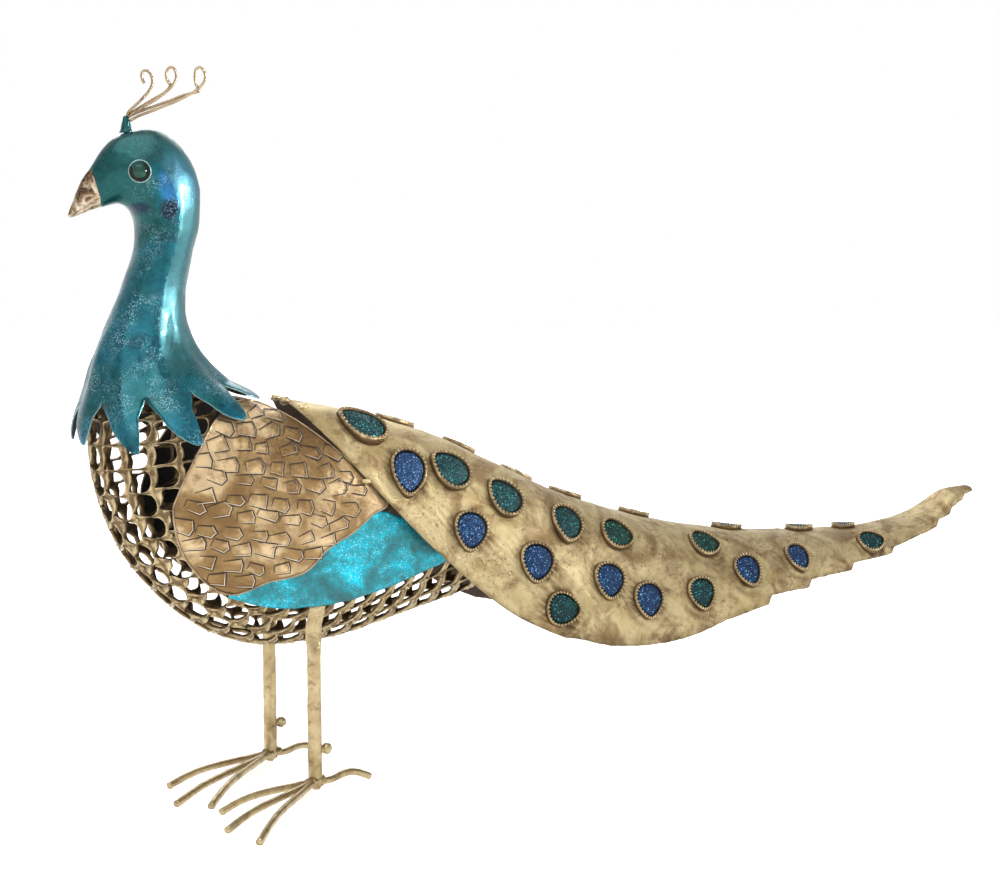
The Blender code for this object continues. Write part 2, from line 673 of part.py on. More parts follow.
def make_crest(mat):
    """A stub on the crown and three wires, each folded back on itself round a small loop."""
    foot, top = drawn(*NUB_FOOT), drawn(*NUB_TOP)
    path = [Vector((foot[0], 0, foot[1] + GAP)), Vector((top[0], 0, top[1]))]
    verts, faces = swept_tube(path, NUB_RADIUS, NUB_SIDES)
    piece("crest_nub", verts, faces, mat)
    for name, (route, loop) in CREST_WIRES.items():
        lx, lz = drawn(*loop)
        out = [Vector((drawn(x, z)[0], 0, drawn(x, z)[1])) for x, z in route]
        first = atan2(out[-1].z - lz, out[-1].x - lx)
        turns = [first + LOOP_FROM + LOOP_STEP * k for k in range(LOOP_POINTS)]
        loop_points = [Vector((lx + LOOP_RADIUS * cos(a), 0, lz + LOOP_RADIUS * sin(a))) for a in turns]
        shift = Vector((0, (WIRE_RADIUS * 2 + GAP) / 2, 0))
        path = [p - shift for p in out]
        path += [p + shift * (2 * k / (LOOP_POINTS - 1) - 1) for k, p in enumerate(loop_points)]
        path += [p + shift for p in reversed(out)]
        verts, faces = swept_tube(path, WIRE_RADIUS, WIRE_SIDES)
        piece(name, verts, faces, mat)


def make_leg(side, word, place, toes, mat):
    """A rod leg with a flattened tab on the openwork, a spur and a foot of four toes."""
    x = drawn(place[0], 0)[0]
    y = side * drawn_width(place[1])
    foot, shoulder, top = (drawn(0, h)[1] for h in (LEG_FOOT, LEG_SHOULDER, TAB_TOP))
    path = [Vector((x, y, foot)), Vector((x, y, shoulder))]
    flat = [(LEG_RADIUS, LEG_RADIUS)] * 2
    for share in TAB_SHARES:
        z = shoulder + (top - shoulder) * share
        skin = side_of_body(x, z, TAB_LIFT + TAB_THICKNESS / 2)
        path.append(Vector((x, side * max(skin, abs(y)), z)))
        flat.append((TAB_WIDTH / 2, TAB_THICKNESS / 2))
    verts, faces = swept_tube(path, 0, LEG_SIDES, flat)
    piece("leg_" + word, verts, faces, mat)
    make_spur(word, Vector((x + LEG_RADIUS + SPUR_RADIUS + GAP, y, drawn(0, SPUR_LEVEL)[1])), mat)
    make_foot(word, Vector((x, y, 0)), foot, toes, mat)


def make_spur(word, place, mat):
    """A small ball with flat ends."""
    verts = []
    for r, k in product(range(1, SPUR_RINGS), range(SPUR_SIDES)):
        polar, turn = pi * r / SPUR_RINGS, 2 * pi * k / SPUR_SIDES
        out = Vector((sin(polar) * cos(turn), sin(polar) * sin(turn), cos(polar)))
        verts.append(place + SPUR_RADIUS * out)
    faces = ring_faces(SPUR_RINGS - 1, SPUR_SIDES)
    faces.append(tuple(range(SPUR_SIDES)))
    faces.append(tuple(range(len(verts) - SPUR_SIDES, len(verts))))
    piece("spur_" + word, verts, faces, mat)


def make_foot(word, ankle, top, toes, mat):
    """Toe rods from one ankle hub, nearly level and bent down to the floor at their ends."""
    level = drawn(0, TOE_LEVEL)[1]
    hub_path = [Vector((ankle.x, ankle.y, HUB_BOTTOM)), Vector((ankle.x, ankle.y, top - GAP))]
    verts, faces = swept_tube(hub_path, LEG_RADIUS, LEG_SIDES)
    hub = piece("foot_" + word, verts, faces, mat)
    for number, (dx, dy) in enumerate(toes):
        reach = Vector((drawn_width(dx), drawn_width(dy), 0))
        away = reach.normalized()
        path = [ankle + away * TOE_SPREAD * number + Vector((0, 0, level - TOE_STAGGER * number))]
        path += [ankle + reach * share + Vector((0, 0, level * height)) for share, height in TOE_SHAPE]
        path.append(ankle + reach + Vector((0, 0, TOE_RADIUS)))
        toe_verts, toe_faces = swept_tube(path, TOE_RADIUS, TOE_SIDES)
        toe = piece(f"toe_cutter_{word}_{number}", toe_verts, toe_faces, mat)
        toe.hide_render = True
        toe.display_type = "WIRE"
        joined = hub.modifiers.new(f"toe_{number}", "BOOLEAN")
        joined.operation = "UNION"
        joined.object = toe
        joined.solver = "EXACT"


def centre_figure():
    """Moves the whole figure so that the origin is the bottom centre of its box."""
    bpy.context.view_layer.update()
    graph = bpy.context.evaluated_depsgraph_get()
    points = []
    for obj in bpy.data.objects:
        if obj.type == "MESH" and not obj.hide_render:
            mesh = obj.evaluated_get(graph).to_mesh()
            points += [obj.matrix_world @ v.co for v in mesh.vertices]
    low = Vector([min(p[k] for p in points) for k in range(3)])
    high = Vector([max(p[k] for p in points) for k in range(3)])
    FIGURE.location = (-(low.x + high.x) / 2, -(low.y + high.y) / 2, -low.z)
    bpy.context.view_layer.update()


for old in list(bpy.data.objects):
    bpy.data.objects.remove(old, do_unlink=True)
FIGURE = bpy.data.objects.new("figure", None)
bpy.context.collection.objects.link(FIGURE)

BODY_LINE = body_line()
LATTICE_LINE = lattice_run()
LATTICE_RUN = sum(hypot(b[0] - a[0], b[1] - a[1]) for a, b in zip(LATTICE_LINE, LATTICE_LINE[1:]))
GIRTH_LINE = girth_line()
TAIL_TOP_LINE = [drawn(*p) for p in smooth_line(TAIL_TOP, SHEET_STEPS)]
TAIL_LOW_LINE = [drawn(*p) for p in smooth_line(TAIL_LOW, SHEET_STEPS)]
TAIL_FRONT_LINE = [drawn(*p) for p in smooth_line(TAIL_FRONT, SHEET_STEPS)]
TAIL_PLAN_LINE = [(drawn(x, 0)[0], share) for x, share in smooth_line(TAIL_PLAN, SHEET_STEPS)]

TEAL = material("teal_paint", (0.03, 0.22, 0.23), 0.35, 0.6)
BEAK_METAL = material("beak_metal", (0.62, 0.56, 0.48), 0.4, 0.9)
OLD_GOLD = material("antique_gold", (0.42, 0.32, 0.17), 0.45, 0.9)
BRONZE = material("wing_bronze", (0.34, 0.22, 0.11), 0.4, 0.9)
TURQUOISE = material("flank_turquoise", (0.01, 0.35, 0.42), 0.4, 0.6)
CHAMPAGNE = material("tail_gold", (0.55, 0.45, 0.26), 0.35, 0.9)
GLASS = material("eye_glass", (0.01, 0.06, 0.04), 0.05, 0.0)
STONES = {"blue": material("jewel_blue", (0.03, 0.07, 0.25), 0.25, 0.1),
          "teal": material("jewel_teal", (0.01, 0.18, 0.18), 0.25, 0.1),
          "green": material("jewel_green", (0.01, 0.16, 0.11), 0.25, 0.1)}

neck = make_neck(TEAL)
make_beak(BEAK_METAL)
head_surface = surface_of(neck)
for eye_side, eye_word in ((-1, "left"), (1, "right")):
    make_eye(eye_side, eye_word, head_surface, OLD_GOLD, GLASS)
make_crest(OLD_GOLD)
make_openwork(OLD_GOLD)
for wing_side, wing_word in ((-1, "left"), (1, "right")):
    make_wing("wing_" + wing_word, wing_side, BRONZE)
    make_flank("flank_" + wing_word, wing_side, TURQUOISE)
tail = make_tail(CHAMPAGNE)
make_jewels(surface_of(tail), STONES)
make_leg(-1, "left", LEG_PLACE_LEFT, TOES_LEFT, OLD_GOLD)
make_leg(1, "right", LEG_PLACE_RIGHT, TOES_RIGHT, OLD_GOLD)
centre_figure()
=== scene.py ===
"""Looks of a standing peacock of cut, bent and soldered sheet metal, openwork and rod.

Metres, +Z up, beak to -X, bird's left to -Y. Outlines are in millimetres on the drawing that the
solids use, with the bird's middle plane at y = 0. SHIFT carries them into the frame.
"""

import random
from math import atan2, cos, exp, hypot, pi, radians, sin, sqrt

import bmesh
import bpy
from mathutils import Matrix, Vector, noise
from mathutils.bvhtree import BVHTree


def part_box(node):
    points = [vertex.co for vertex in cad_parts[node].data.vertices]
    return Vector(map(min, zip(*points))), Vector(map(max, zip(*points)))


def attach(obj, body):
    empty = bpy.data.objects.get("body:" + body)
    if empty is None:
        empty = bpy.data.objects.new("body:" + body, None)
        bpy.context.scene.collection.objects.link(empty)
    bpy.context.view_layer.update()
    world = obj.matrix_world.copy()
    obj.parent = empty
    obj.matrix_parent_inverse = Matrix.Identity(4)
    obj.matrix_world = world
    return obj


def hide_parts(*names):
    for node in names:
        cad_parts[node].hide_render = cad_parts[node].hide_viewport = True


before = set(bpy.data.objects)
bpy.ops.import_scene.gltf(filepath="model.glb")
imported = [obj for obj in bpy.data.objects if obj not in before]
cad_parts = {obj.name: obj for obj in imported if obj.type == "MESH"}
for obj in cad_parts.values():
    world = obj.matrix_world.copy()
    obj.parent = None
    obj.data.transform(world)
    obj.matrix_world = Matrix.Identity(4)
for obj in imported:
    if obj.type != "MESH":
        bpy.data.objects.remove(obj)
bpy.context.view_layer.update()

MM = 0.001
UP = Vector((0, 0, 1))
SEED = 7

# The figure's sizes. They are those of the solids, apart from NUB_FOOT, TOOTH_STEP and the openwork's
# start, aim and reach
BODY_HALF_WIDTH = 81 * MM
BODY_CENTRE = (-320, 250)
BODY_OUTLINE = [(-466, 335), (-468, 305), (-461, 264), (-444, 221), (-414, 180), (-375, 147),
                (-331, 129), (-290, 127), (-245, 131), (-183, 147), (-112, 166), (-62, 188),
                (-48, 208), (-75, 242), (-120, 272), (-176, 298), (-245, 322), (-315, 338),
                (-360, 354), (-402, 366), (-440, 364), (-459, 352)]
LATTICE_START = (-455, 356)
LATTICE_END = (-100, 170)
LATTICE_AIM = (-155, 342)
LATTICE_REACH = 0.62
FLANK_LIFT = 4.2 * MM
WING_LIFT = 7.0 * MM
LEAF_LIFT = 10.8 * MM
WING_CENTRE = (-325, 265)
WING_OUTLINE = [(-412, 257), (-408, 276), (-391, 311), (-370, 338), (-340, 349), (-305, 336),
                (-262, 300), (-228, 262), (-243, 250), (-262, 236), (-284, 223), (-304, 204),
                (-335, 197), (-363, 187), (-386, 199), (-405, 226)]
FLANK_LOWER = [(-366, 184), (-334, 173), (-300, 170), (-262, 172), (-220, 182), (-165, 202)]
FLANK_UPPER = [(-362, 192), (-335, 206), (-302, 215), (-270, 240), (-238, 254), (-180, 228)]
NECK_SECTIONS = [((-453, 513), (-462, 545), 10.5), ((-439, 516), (-443, 570), 20),
                 ((-430, 511), (-412, 580), 27), ((-426, 500), (-388, 568), 30),
                 ((-426, 486), (-372, 541), 30.5), ((-430, 468), (-371, 503), 30),
                 ((-439, 443), (-379, 467), 29), ((-449, 420), (-384, 436), 30.5),
                 ((-460, 395), (-381, 410), 36), ((-468, 373), (-368, 386), 44),
                 ((-475, 350), (-348, 366), 57)]
LEAVES = 10
LEAF_FRONT = (-482, 315)
LEAF_BACK = (-322, 352)
LEAF_HALF_WIDTH = 82
LEAF_DROOP = 22
BEAK_SECTIONS = [((-453, 513), (-462, 545), 10.5), ((-461, 510.5), (-469, 535), 8),
                 ((-471, 506.5), (-476, 519), 4.5), ((-479.5, 503.5), (-481, 506), 1.5)]
EYE_PLACE = (-425, 542)
NUB_FOOT = (-431, 576)
NUB_TOP = (-431, 590)
TAIL_HALF_WIDTH = 106 * MM
TAIL_ARCH = radians(78)
TAIL_ROUNDNESS = 0.74
TAIL_TOP = [(-320, 350), (-300, 348), (-245, 337), (-176, 318), (-112, 290), (-35, 253),
            (38, 229), (110, 211), (190, 199), (260, 194.5), (334, 193.5), (380, 197),
            (410, 204.5), (432, 215.5), (452, 227.5), (481, 231)]
TAIL_LOW = [(-140, 130), (-67, 130), (-20, 118), (30, 113), (75, 116), (120, 127), (175, 144),
            (233, 155), (294, 166), (348, 176), (385, 187), (416, 197), (441, 209), (463, 222),
            (481, 226)]
TAIL_PLAN = [(-320, 1.0), (-100, 1.0), (0, 0.94), (150, 0.74), (300, 0.48), (400, 0.30), (481, 0.10)]
TAIL_FRONT = [(-303, 349), (-265, 305), (-235, 268), (-183, 212), (-121, 158), (-64, 129)]
TEETH_FROM = 118
TOOTH_TIPS = [174, 229, 289, 348, 419, 441, 463]
TOOTH_DEPTH = 8.0
TOOTH_STEP = 0.005
TOOTH_FADE = 0.5
LEG_PLACE = {"left": (-287, 50), "right": (-300, 50)}
LEG_RADIUS = 6.2 * MM
LEG_FOOT = 16 * MM
LEG_SHOULDER = 125 * MM
TAB_TOP = 170 * MM
TOE_RADIUS = 3.1 * MM
TOE_LEVEL = 9.5 * MM
SPUR_LEVEL = 38 * MM
SPUR_RADIUS = 5.0 * MM
TOES = {"left": [(-93, -30), (-99, -76), (-82, -114), (56, 14)],
        "right": [(-106, -42), (-110, -94), (-84, -112), (52, 10)]}
JEWELS = {
    "left": [(-237, 16, 48, 40, 145, "teal"), (-205, 34, 46, 34, -90, "blue"),
             (-162, 29, 42, 37, 150, "teal"), (-111, 33, 40, 36, 140, "teal"),
             (-153, 49, 37, 33, -90, "blue"), (-90, 55, 37, 34, -90, "blue"),
             (-68, 69, 35, 31, 0, "teal"), (-49, 35, 40, 35, -90, "teal"),
             (8, 32, 36, 34, 0, "green"), (-14, 55, 35, 34, -90, "blue"),
             (28, 61, 35, 33, -90, "blue"), (113, 29, 34, 32, 0, "green"),
             (91, 60, 32, 31, -90, "teal"), (152, 53, 33, 31, -90, "blue"),
             (219, 50, 31, 28, -90, "blue"), (323, 49, 34, 26, 0, "teal")],
    "right": [(-189, 2, 38, 32, 0, "teal"), (-125, 2, 34, 30, 0, "blue"),
              (-65, 2, 34, 30, 0, "teal"), (-12, 2, 34, 30, 0, "green"),
              (65, 2, 32, 28, 0, "teal"), (174, 2, 32, 28, 0, "blue"),
              (263, 2, 30, 24, 0, "teal"), (-180, 38, 44, 34, 90, "blue"),
              (-112, 38, 40, 35, 40, "teal"), (-128, 60, 36, 33, 90, "blue"),
              (-44, 45, 38, 34, 90, "teal"), (22, 50, 35, 33, 90, "blue"),
              (104, 48, 33, 31, 0, "green"), (188, 48, 32, 28, 90, "blue"),
              (320, 3, 26, 20, 0, "blue")]}
SIDES = (("left", -1), ("right", 1))


def find_shift():
    """From the drawing to the frame, read from the crest's stub, which stands on the middle plane."""
    low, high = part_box("crest_nub")
    return Vector(((low.x + high.x) / 2 - NUB_TOP[0] * MM, (low.y + high.y) / 2, high.z - NUB_TOP[1] * MM))


SHIFT = find_shift()


# Lines and curves

def blend(a, b, c, d, t):
    """Catmull-Rom value between b and c."""
    return 0.5 * (2 * b + (c - a) * t + (2 * a - 5 * b + 4 * c - d) * t ** 2
                  + (3 * b - a - 3 * c + d) * t ** 3)


def smooth_line(points, per_span, closed=False):
    """A smooth line through tuples of any size, per_span steps to each span."""
    count = len(points)
    line = []
    for i in range(count if closed else count - 1):
        if closed:
            four = [points[(i + k) % count] for k in (-1, 0, 1, 2)]
        else:
            four = [points[min(max(i + k, 0), count - 1)] for k in (-1, 0, 1, 2)]
        for step in range(per_span):
            line.append(tuple(blend(*column, step / per_span) for column in zip(*four)))
    if not closed:
        line.append(tuple(points[-1]))
    return line


def even_points(line, count):
    """count points at equal distances along a line, its ends among them."""
    lengths = [0.0]
    for a, b in zip(line, line[1:]):
        lengths.append(lengths[-1] + sqrt(sum((q - p) ** 2 for p, q in zip(a, b))))
    points = []
    k = 0
    for i in range(count):
        want = lengths[-1] * i / (count - 1)
        while k < len(line) - 2 and lengths[k + 1] < want:
            k += 1
        t = (want - lengths[k]) / (lengths[k + 1] - lengths[k])
        points.append(tuple(p + (q - p) * t for p, q in zip(line[k], line[k + 1])))
    return points


def value_at(line, x):
    """The second value of a line whose first value rises, read at x."""
    for a, b in zip(line, line[1:]):
        if x <= b[0]:
            t = max(0.0, (x - a[0]) / (b[0] - a[0]))
            return a[1] + (b[1] - a[1]) * t
    return line[-1][1]


def in_metres(points, per_span, closed=False):
    return [(x * MM, z * MM) for x, z in smooth_line(points, per_span, closed)]


def ease(low, high, x):
    """0 below low, 1 above high, smooth between."""
    t = min(max((x - low) / (high - low), 0.0), 1.0)
    return t * t * (3 - 2 * t)


def hump(x, middle, width):
    """1 at middle, falling off smoothly to both sides."""
    return exp(-((x - middle) / width) ** 2)


def patch_at(x, z, middle, reach):
    """1 at middle, falling off smoothly all round it. reach is its length and height."""
    return exp(-((x - middle[0]) / reach[0]) ** 2 - ((z - middle[1]) / reach[1]) ** 2)


def wrapped(polar):
    """Pairs of direction and distance in order, with one more pair past each end of the turn."""
    polar = sorted(polar)
    return [(polar[-1][0] - 2 * pi, polar[-1][1])] + polar + [(polar[0][0] + 2 * pi, polar[0][1])]


def rough(point, size, seed=0.0):
    """Smooth noise between about -1 and 1, with bumps of the given size in metres."""
    return noise.noise(Vector(point) / size + Vector((seed, seed * 1.7, -seed)))


# Skins of the figure

BODY_LINE = in_metres(BODY_OUTLINE, 12, closed=True)
BODY_X, BODY_Z = BODY_CENTRE[0] * MM, BODY_CENTRE[1] * MM
TURN_STEPS = 720
LATTICE_POINTS = 300
GIRTH_STEPS = 50
HALVINGS = 40


def edge_table():
    """Distance from the body's centre to its outline, for TURN_STEPS directions."""
    polar = wrapped((atan2(z - BODY_Z, x - BODY_X), hypot(x - BODY_X, z - BODY_Z)) for x, z in BODY_LINE)
    return [value_at(polar, -pi + 2 * pi * k / TURN_STEPS) for k in range(TURN_STEPS + 1)]


EDGES = edge_table()


def edge_toward(dx, dz):
    """Distance from the body's centre to its outline in one direction."""
    spot = (atan2(dz, dx) + pi) / (2 * pi) * TURN_STEPS
    low = min(int(spot), TURN_STEPS - 1)
    return EDGES[low] + (EDGES[low + 1] - EDGES[low]) * (spot - low)


def side_of_body(x, z, lift):
    """Distance of the body's side from the middle plane at (x, z), raised by lift."""
    dx, dz = x - BODY_X, z - BODY_Z
    part = min(hypot(dx, dz) / (edge_toward(dx, dz) + lift), 1.0)
    return (BODY_HALF_WIDTH + lift) * sqrt(1 - part ** 2)


def on_body(x, z, side, lift):
    """A point on one side of the body, raised by lift."""
    return Vector((x, side * side_of_body(x, z, lift), z))


def lattice_run():
    """The stretch of the body's outline that the openwork covers, from the collar to the rear."""
    def nearest(line, place):
        px, pz = place[0] * MM, place[1] * MM
        return min(range(len(line)), key=lambda k: hypot(line[k][0] - px, line[k][1] - pz))

    first = nearest(BODY_LINE, LATTICE_START)
    line = BODY_LINE[first:] + BODY_LINE[:first]
    return even_points(line[:nearest(line, LATTICE_END) + 1], LATTICE_POINTS)


LATTICE_LINE = lattice_run()
LATTICE_RUN = sum(hypot(b[0] - a[0], b[1] - a[1]) for a, b in zip(LATTICE_LINE, LATTICE_LINE[1:]))


def girth_table():
    """For each point of LATTICE_LINE, pairs of girth length and share of the way to LATTICE_AIM."""
    table = []
    for px, pz in LATTICE_LINE:
        pairs = [(0.0, 0.0)]
        here = Vector((px, 0, pz))
        for k in range(1, GIRTH_STEPS + 1):
            share = LATTICE_REACH * (k / GIRTH_STEPS) ** 2
            x, z = px + (LATTICE_AIM[0] * MM - px) * share, pz + (LATTICE_AIM[1] * MM - pz) * share
            there = Vector((x, side_of_body(x, z, 0.0), z))
            pairs.append((pairs[-1][0] + (there - here).length, share))
            here = there
        table.append(pairs)
    return table


GIRTHS = girth_table()


def body_point(along, girth, depth=0.0):
    """A point of the body's skin, depth under it: along the outline, then girth round from it."""
    index = min(max(along / LATTICE_RUN, 0.0), 1.0) * (len(LATTICE_LINE) - 1)
    low = min(int(index), len(LATTICE_LINE) - 2)
    t = index - low
    (ax, az), (bx, bz) = LATTICE_LINE[low], LATTICE_LINE[low + 1]
    near, far = value_at(GIRTHS[low], abs(girth)), value_at(GIRTHS[low + 1], abs(girth))
    share = near + (far - near) * t
    px, pz = ax + (bx - ax) * t, az + (bz - az) * t
    dx = px + (LATTICE_AIM[0] * MM - px) * share - BODY_X
    dz = pz + (LATTICE_AIM[1] * MM - pz) * share - BODY_Z
    side = side_of_body(BODY_X + dx, BODY_Z + dz, 0.0) * (1 if girth > 0 else -1)
    shrink = 1 - depth / edge_toward(dx, dz)
    return Vector((BODY_X + dx * shrink, side * (1 - depth / BODY_HALF_WIDTH), BODY_Z + dz * shrink))


TAIL_TOP_LINE = in_metres(TAIL_TOP, 12)
TAIL_LOW_LINE = in_metres(TAIL_LOW, 12)
TAIL_FRONT_LINE = in_metres(TAIL_FRONT, 12)
TAIL_PLAN_LINE = [(x * MM, share) for x, share in smooth_line(TAIL_PLAN, 12)]


def tail_point(x, turn):
    """A point of the tail's outer skin: x along the bird, turn round the arch from the ridge."""
    wide = TAIL_HALF_WIDTH * value_at(TAIL_PLAN_LINE, x)
    top, low = value_at(TAIL_TOP_LINE, x), value_at(TAIL_LOW_LINE, x)
    drop = (1 - cos(turn)) / (1 - cos(TAIL_ARCH))
    out = (abs(sin(turn)) / sin(TAIL_ARCH)) ** TAIL_ROUNDNESS
    return Vector((x, wide * out * (1 if turn > 0 else -1), top - (top - low) * drop))


def tail_start(turn):
    """Where the slanting front edge of the tail crosses the line at turn."""
    low, high = TAIL_FRONT_LINE[0][0], TAIL_FRONT_LINE[-1][0]
    for _ in range(HALVINGS):
        middle = (low + high) / 2
        if tail_point(middle, turn).z > value_at(TAIL_FRONT_LINE, middle):
            high = middle
        else:
            low = middle
    return (low + high) / 2


# Materials

class Finish:
    """A material and short calls that add nodes to it. Coordinates are the frame's, in metres."""

    def __init__(self, name, colour, roughness, metallic=0.0):
        self.mat = bpy.data.materials.new(name)
        self.mat.use_nodes = True
        self.tree = self.mat.node_tree
        self.shader = self.tree.nodes["Principled BSDF"]
        self.place = self.tree.nodes.new("ShaderNodeTexCoord").outputs["Object"]
        self.set("Base Color", (*colour, 1.0))
        self.set("Roughness", roughness)
        self.set("Metallic", metallic)

    def feed(self, socket, value):
        if isinstance(value, bpy.types.NodeSocket):
            self.tree.links.new(value, socket)
        elif isinstance(value, tuple) and len(value) == 3 and socket.type == "RGBA":
            socket.default_value = (*value, 1.0)
        else:
            socket.default_value = value

    def set(self, name, value):
        self.feed(self.shader.inputs[name], value)

    def put(self, kind, inputs, **settings):
        node = self.tree.nodes.new(kind)
        for key, value in settings.items():
            setattr(node, key, value)
        for key, value in inputs.items():
            self.feed(node.inputs[key], value)
        return node

    def noise(self, size, detail=3.0, harsh=0.5, distortion=0.0):
        """Noise with features of about size metres."""
        return self.put("ShaderNodeTexNoise", {"Vector": self.place, "Scale": 0.5 / size, "Detail": detail,
                                               "Roughness": harsh, "Distortion": distortion}).outputs[0]

    def cells(self, size, feature="F1"):
        return self.put("ShaderNodeTexVoronoi", {"Vector": self.place, "Scale": 1 / size}, feature=feature)

    def ramp(self, value, stops):
        """Colours or greys at places between 0 and 1."""
        node = self.put("ShaderNodeValToRGB", {"Fac": value})
        band = node.color_ramp
        while len(band.elements) < len(stops):
            band.elements.new(1.0)
        for element, (place, colour) in zip(band.elements, stops):
            element.position = place
            element.color = (*colour, 1.0) if isinstance(colour, tuple) else (colour, colour, colour, 1.0)
        return node.outputs["Color"]

    def mix(self, share, a, b, kind="MIX"):
        node = self.put("ShaderNodeMix", {}, data_type="RGBA", blend_type=kind)
        self.feed(node.inputs[0], share)
        self.feed(node.inputs[6], a)
        self.feed(node.inputs[7], b)
        return node.outputs[2]

    def maths(self, kind, a, b=0.0):
        node = self.put("ShaderNodeMath", {}, operation=kind)
        self.feed(node.inputs[0], a)
        self.feed(node.inputs[1], b)
        return node.outputs[0]

    def times(self, a, b):
        return self.maths("MULTIPLY", a, b)

    def plus(self, a, b):
        return self.maths("ADD", a, b)

    def share(self, value, low, high):
        """0 to 1 as value goes from low to high."""
        return self.put("ShaderNodeMapRange", {"Value": value, "From Min": low, "From Max": high}).outputs[0]

    def told(self, name):
        """A number that the mesh holds at its points."""
        return self.put("ShaderNodeAttribute", {}, attribute_name=name).outputs["Fac"]

    def bump(self, height, strength, distance, under=None):
        inputs = {"Height": height, "Strength": strength, "Distance": distance}
        if under is not None:
            inputs["Normal"] = under
        return self.put("ShaderNodeBump", inputs).outputs["Normal"]

    def relief(self, *layers):
        """Bumps in layers of (height, strength, distance), the last layer undermost."""
        normal = None
        for layer in reversed(layers):
            normal = self.bump(*layer, normal)
        self.set("Normal", normal)


def teal_paint(name, light, blue, dark, smooth_colour, sparkle):
    """Metallic paint with glitter: mottled in front, smoother and paler where "back" is 1, bluer where "blue"
    is high; behind the eye that blue is a painted highlight.
    """
    f = Finish(name, light, 0.35, 0.7)
    broad = f.noise(16 * MM, 4.0, 0.6, 0.6)
    fine = f.noise(2.5 * MM, 6.0, 0.7)
    blue_and_highlight = f.told("blue")
    colour = f.mix(f.share(f.plus(f.times(blue_and_highlight, 0.8), broad), 0.72, 1.15), light, blue)
    # painted highlight: bright blue where the blue number nears 1, mainly in the patch behind the eye
    colour = f.mix(f.share(f.plus(blue_and_highlight, f.times(fine, 0.3)), 0.85, 1.15), colour,
                   (0.020, 0.170, 0.400))
    smudge = f.noise(9 * MM, 5.0, 0.65, 1.2)
    blots = f.times(f.share(smudge, 0.54, 0.66), f.plus(f.times(blue_and_highlight, 0.7), 0.2))
    told = f.share(f.plus(f.told("blot"), f.times(smudge, 0.9)), 0.82, 1.1)
    colour = f.mix(f.maths("MAXIMUM", blots, told), colour, dark)
    colour = f.mix(f.share(fine, 0.35, 0.75), f.mix(0.45, colour, dark), colour)
    back = f.told("back")
    smooth = f.mix(f.share(f.noise(6 * MM, 4.0), 0.3, 0.7), smooth_colour,
                   tuple(c * 0.62 for c in smooth_colour))
    colour = f.mix(f.times(back, 0.85), colour, smooth)
    flakes = f.cells(0.55 * MM).outputs["Color"]
    spark = f.share(flakes, 0.72, 0.86)
    # more glitter shows in the painted highlight behind the eye
    patch = f.times(f.share(f.noise(11 * MM, 3.0), 0.42, 0.64),
                    f.plus(f.times(blue_and_highlight, 0.9), 0.1))
    spark = f.times(f.times(spark, patch),
                    f.maths("SUBTRACT", 1.0, f.times(back, 0.8)))
    f.set("Base Color", f.mix(spark, colour, sparkle))
    f.set("Metallic", 0.72)
    f.set("Roughness", f.share(f.plus(fine, f.times(back, 0.35)), 0.1, 1.9))
    f.relief((fine, 0.3, 0.35 * MM), (flakes, 0.32, 0.12 * MM))
    f.set("Coat Weight", 0.1)
    f.set("Coat Roughness", 0.15)
    return f.mat


def old_gold(name, pale, gold, brown, roughness=0.38):
    """Antique gold, browner where dirt noise lies and where the hollow number is high, which is painted shade
    in recesses, on undersides and at the bezels' feet.
    """
    f = Finish(name, gold, roughness, 0.85)
    broad = f.noise(14 * MM, 5.0, 0.6, 0.5)
    fine = f.noise(1.6 * MM, 6.0, 0.7)
    colour = f.mix(f.share(broad, 0.38, 0.66), pale, gold)
    # dirt noise plus painted shade from the hollow number
    dirt_and_shade = f.share(f.plus(f.noise(5 * MM, 6.0, 0.7, 0.8), f.times(f.told("shade_and_stain"), 0.34)),
                   0.49, 0.76)
    colour = f.mix(f.times(dirt_and_shade, 0.85), colour, brown)
    colour = f.mix(f.share(fine, 0.62, 0.78), colour, f.mix(0.6, colour, brown))
    f.set("Base Color", colour)
    f.set("Roughness", f.share(f.plus(f.times(dirt_and_shade, 0.5), fine), -0.25, 2.1))
    f.relief((fine, 0.55, 0.5 * MM), (f.noise(4 * MM, 3.0), 0.4, 1.0 * MM))
    return f.mat


def sheet_gold(name):
    """The train: champagne gold, satin, with soft brown clouds, small dark specks and painted shade along its
    edges and round its jewels.
    """
    f = Finish(name, (0.55, 0.44, 0.25), 0.34, 0.88)
    broad = f.noise(28 * MM, 5.0, 0.6, 0.8)
    cloud = f.noise(12 * MM, 6.0, 0.7, 0.6)
    fine = f.noise(1.8 * MM, 6.0, 0.75)
    colour = f.ramp(broad, [(0.36, (0.42, 0.33, 0.155)), (0.50, (0.55, 0.445, 0.245)),
                            (0.62, (0.30, 0.21, 0.10))])
    colour = f.mix(f.share(cloud, 0.48, 0.70), colour, (0.20, 0.12, 0.055))
    specks = f.times(f.share(fine, 0.53, 0.64), f.share(f.noise(18 * MM, 3.0), 0.42, 0.58))
    # painted shade from the hollow number, broken up by the clouds, joined with the specks
    rim = f.told("shade_and_stain")
    darkening = f.maths("MAXIMUM", f.times(specks, 0.8), f.times(rim, f.share(cloud, 0.2, 0.6)))
    f.set("Base Color", f.mix(f.times(darkening, 0.85), colour, (0.085, 0.047, 0.022)))
    f.set("Roughness", f.share(f.plus(cloud, f.times(darkening, 0.8)), -0.55, 1.6))
    f.relief((f.noise(9 * MM, 3.0), 0.35, 1.2 * MM), (fine, 0.22, 0.25 * MM))
    return f.mat


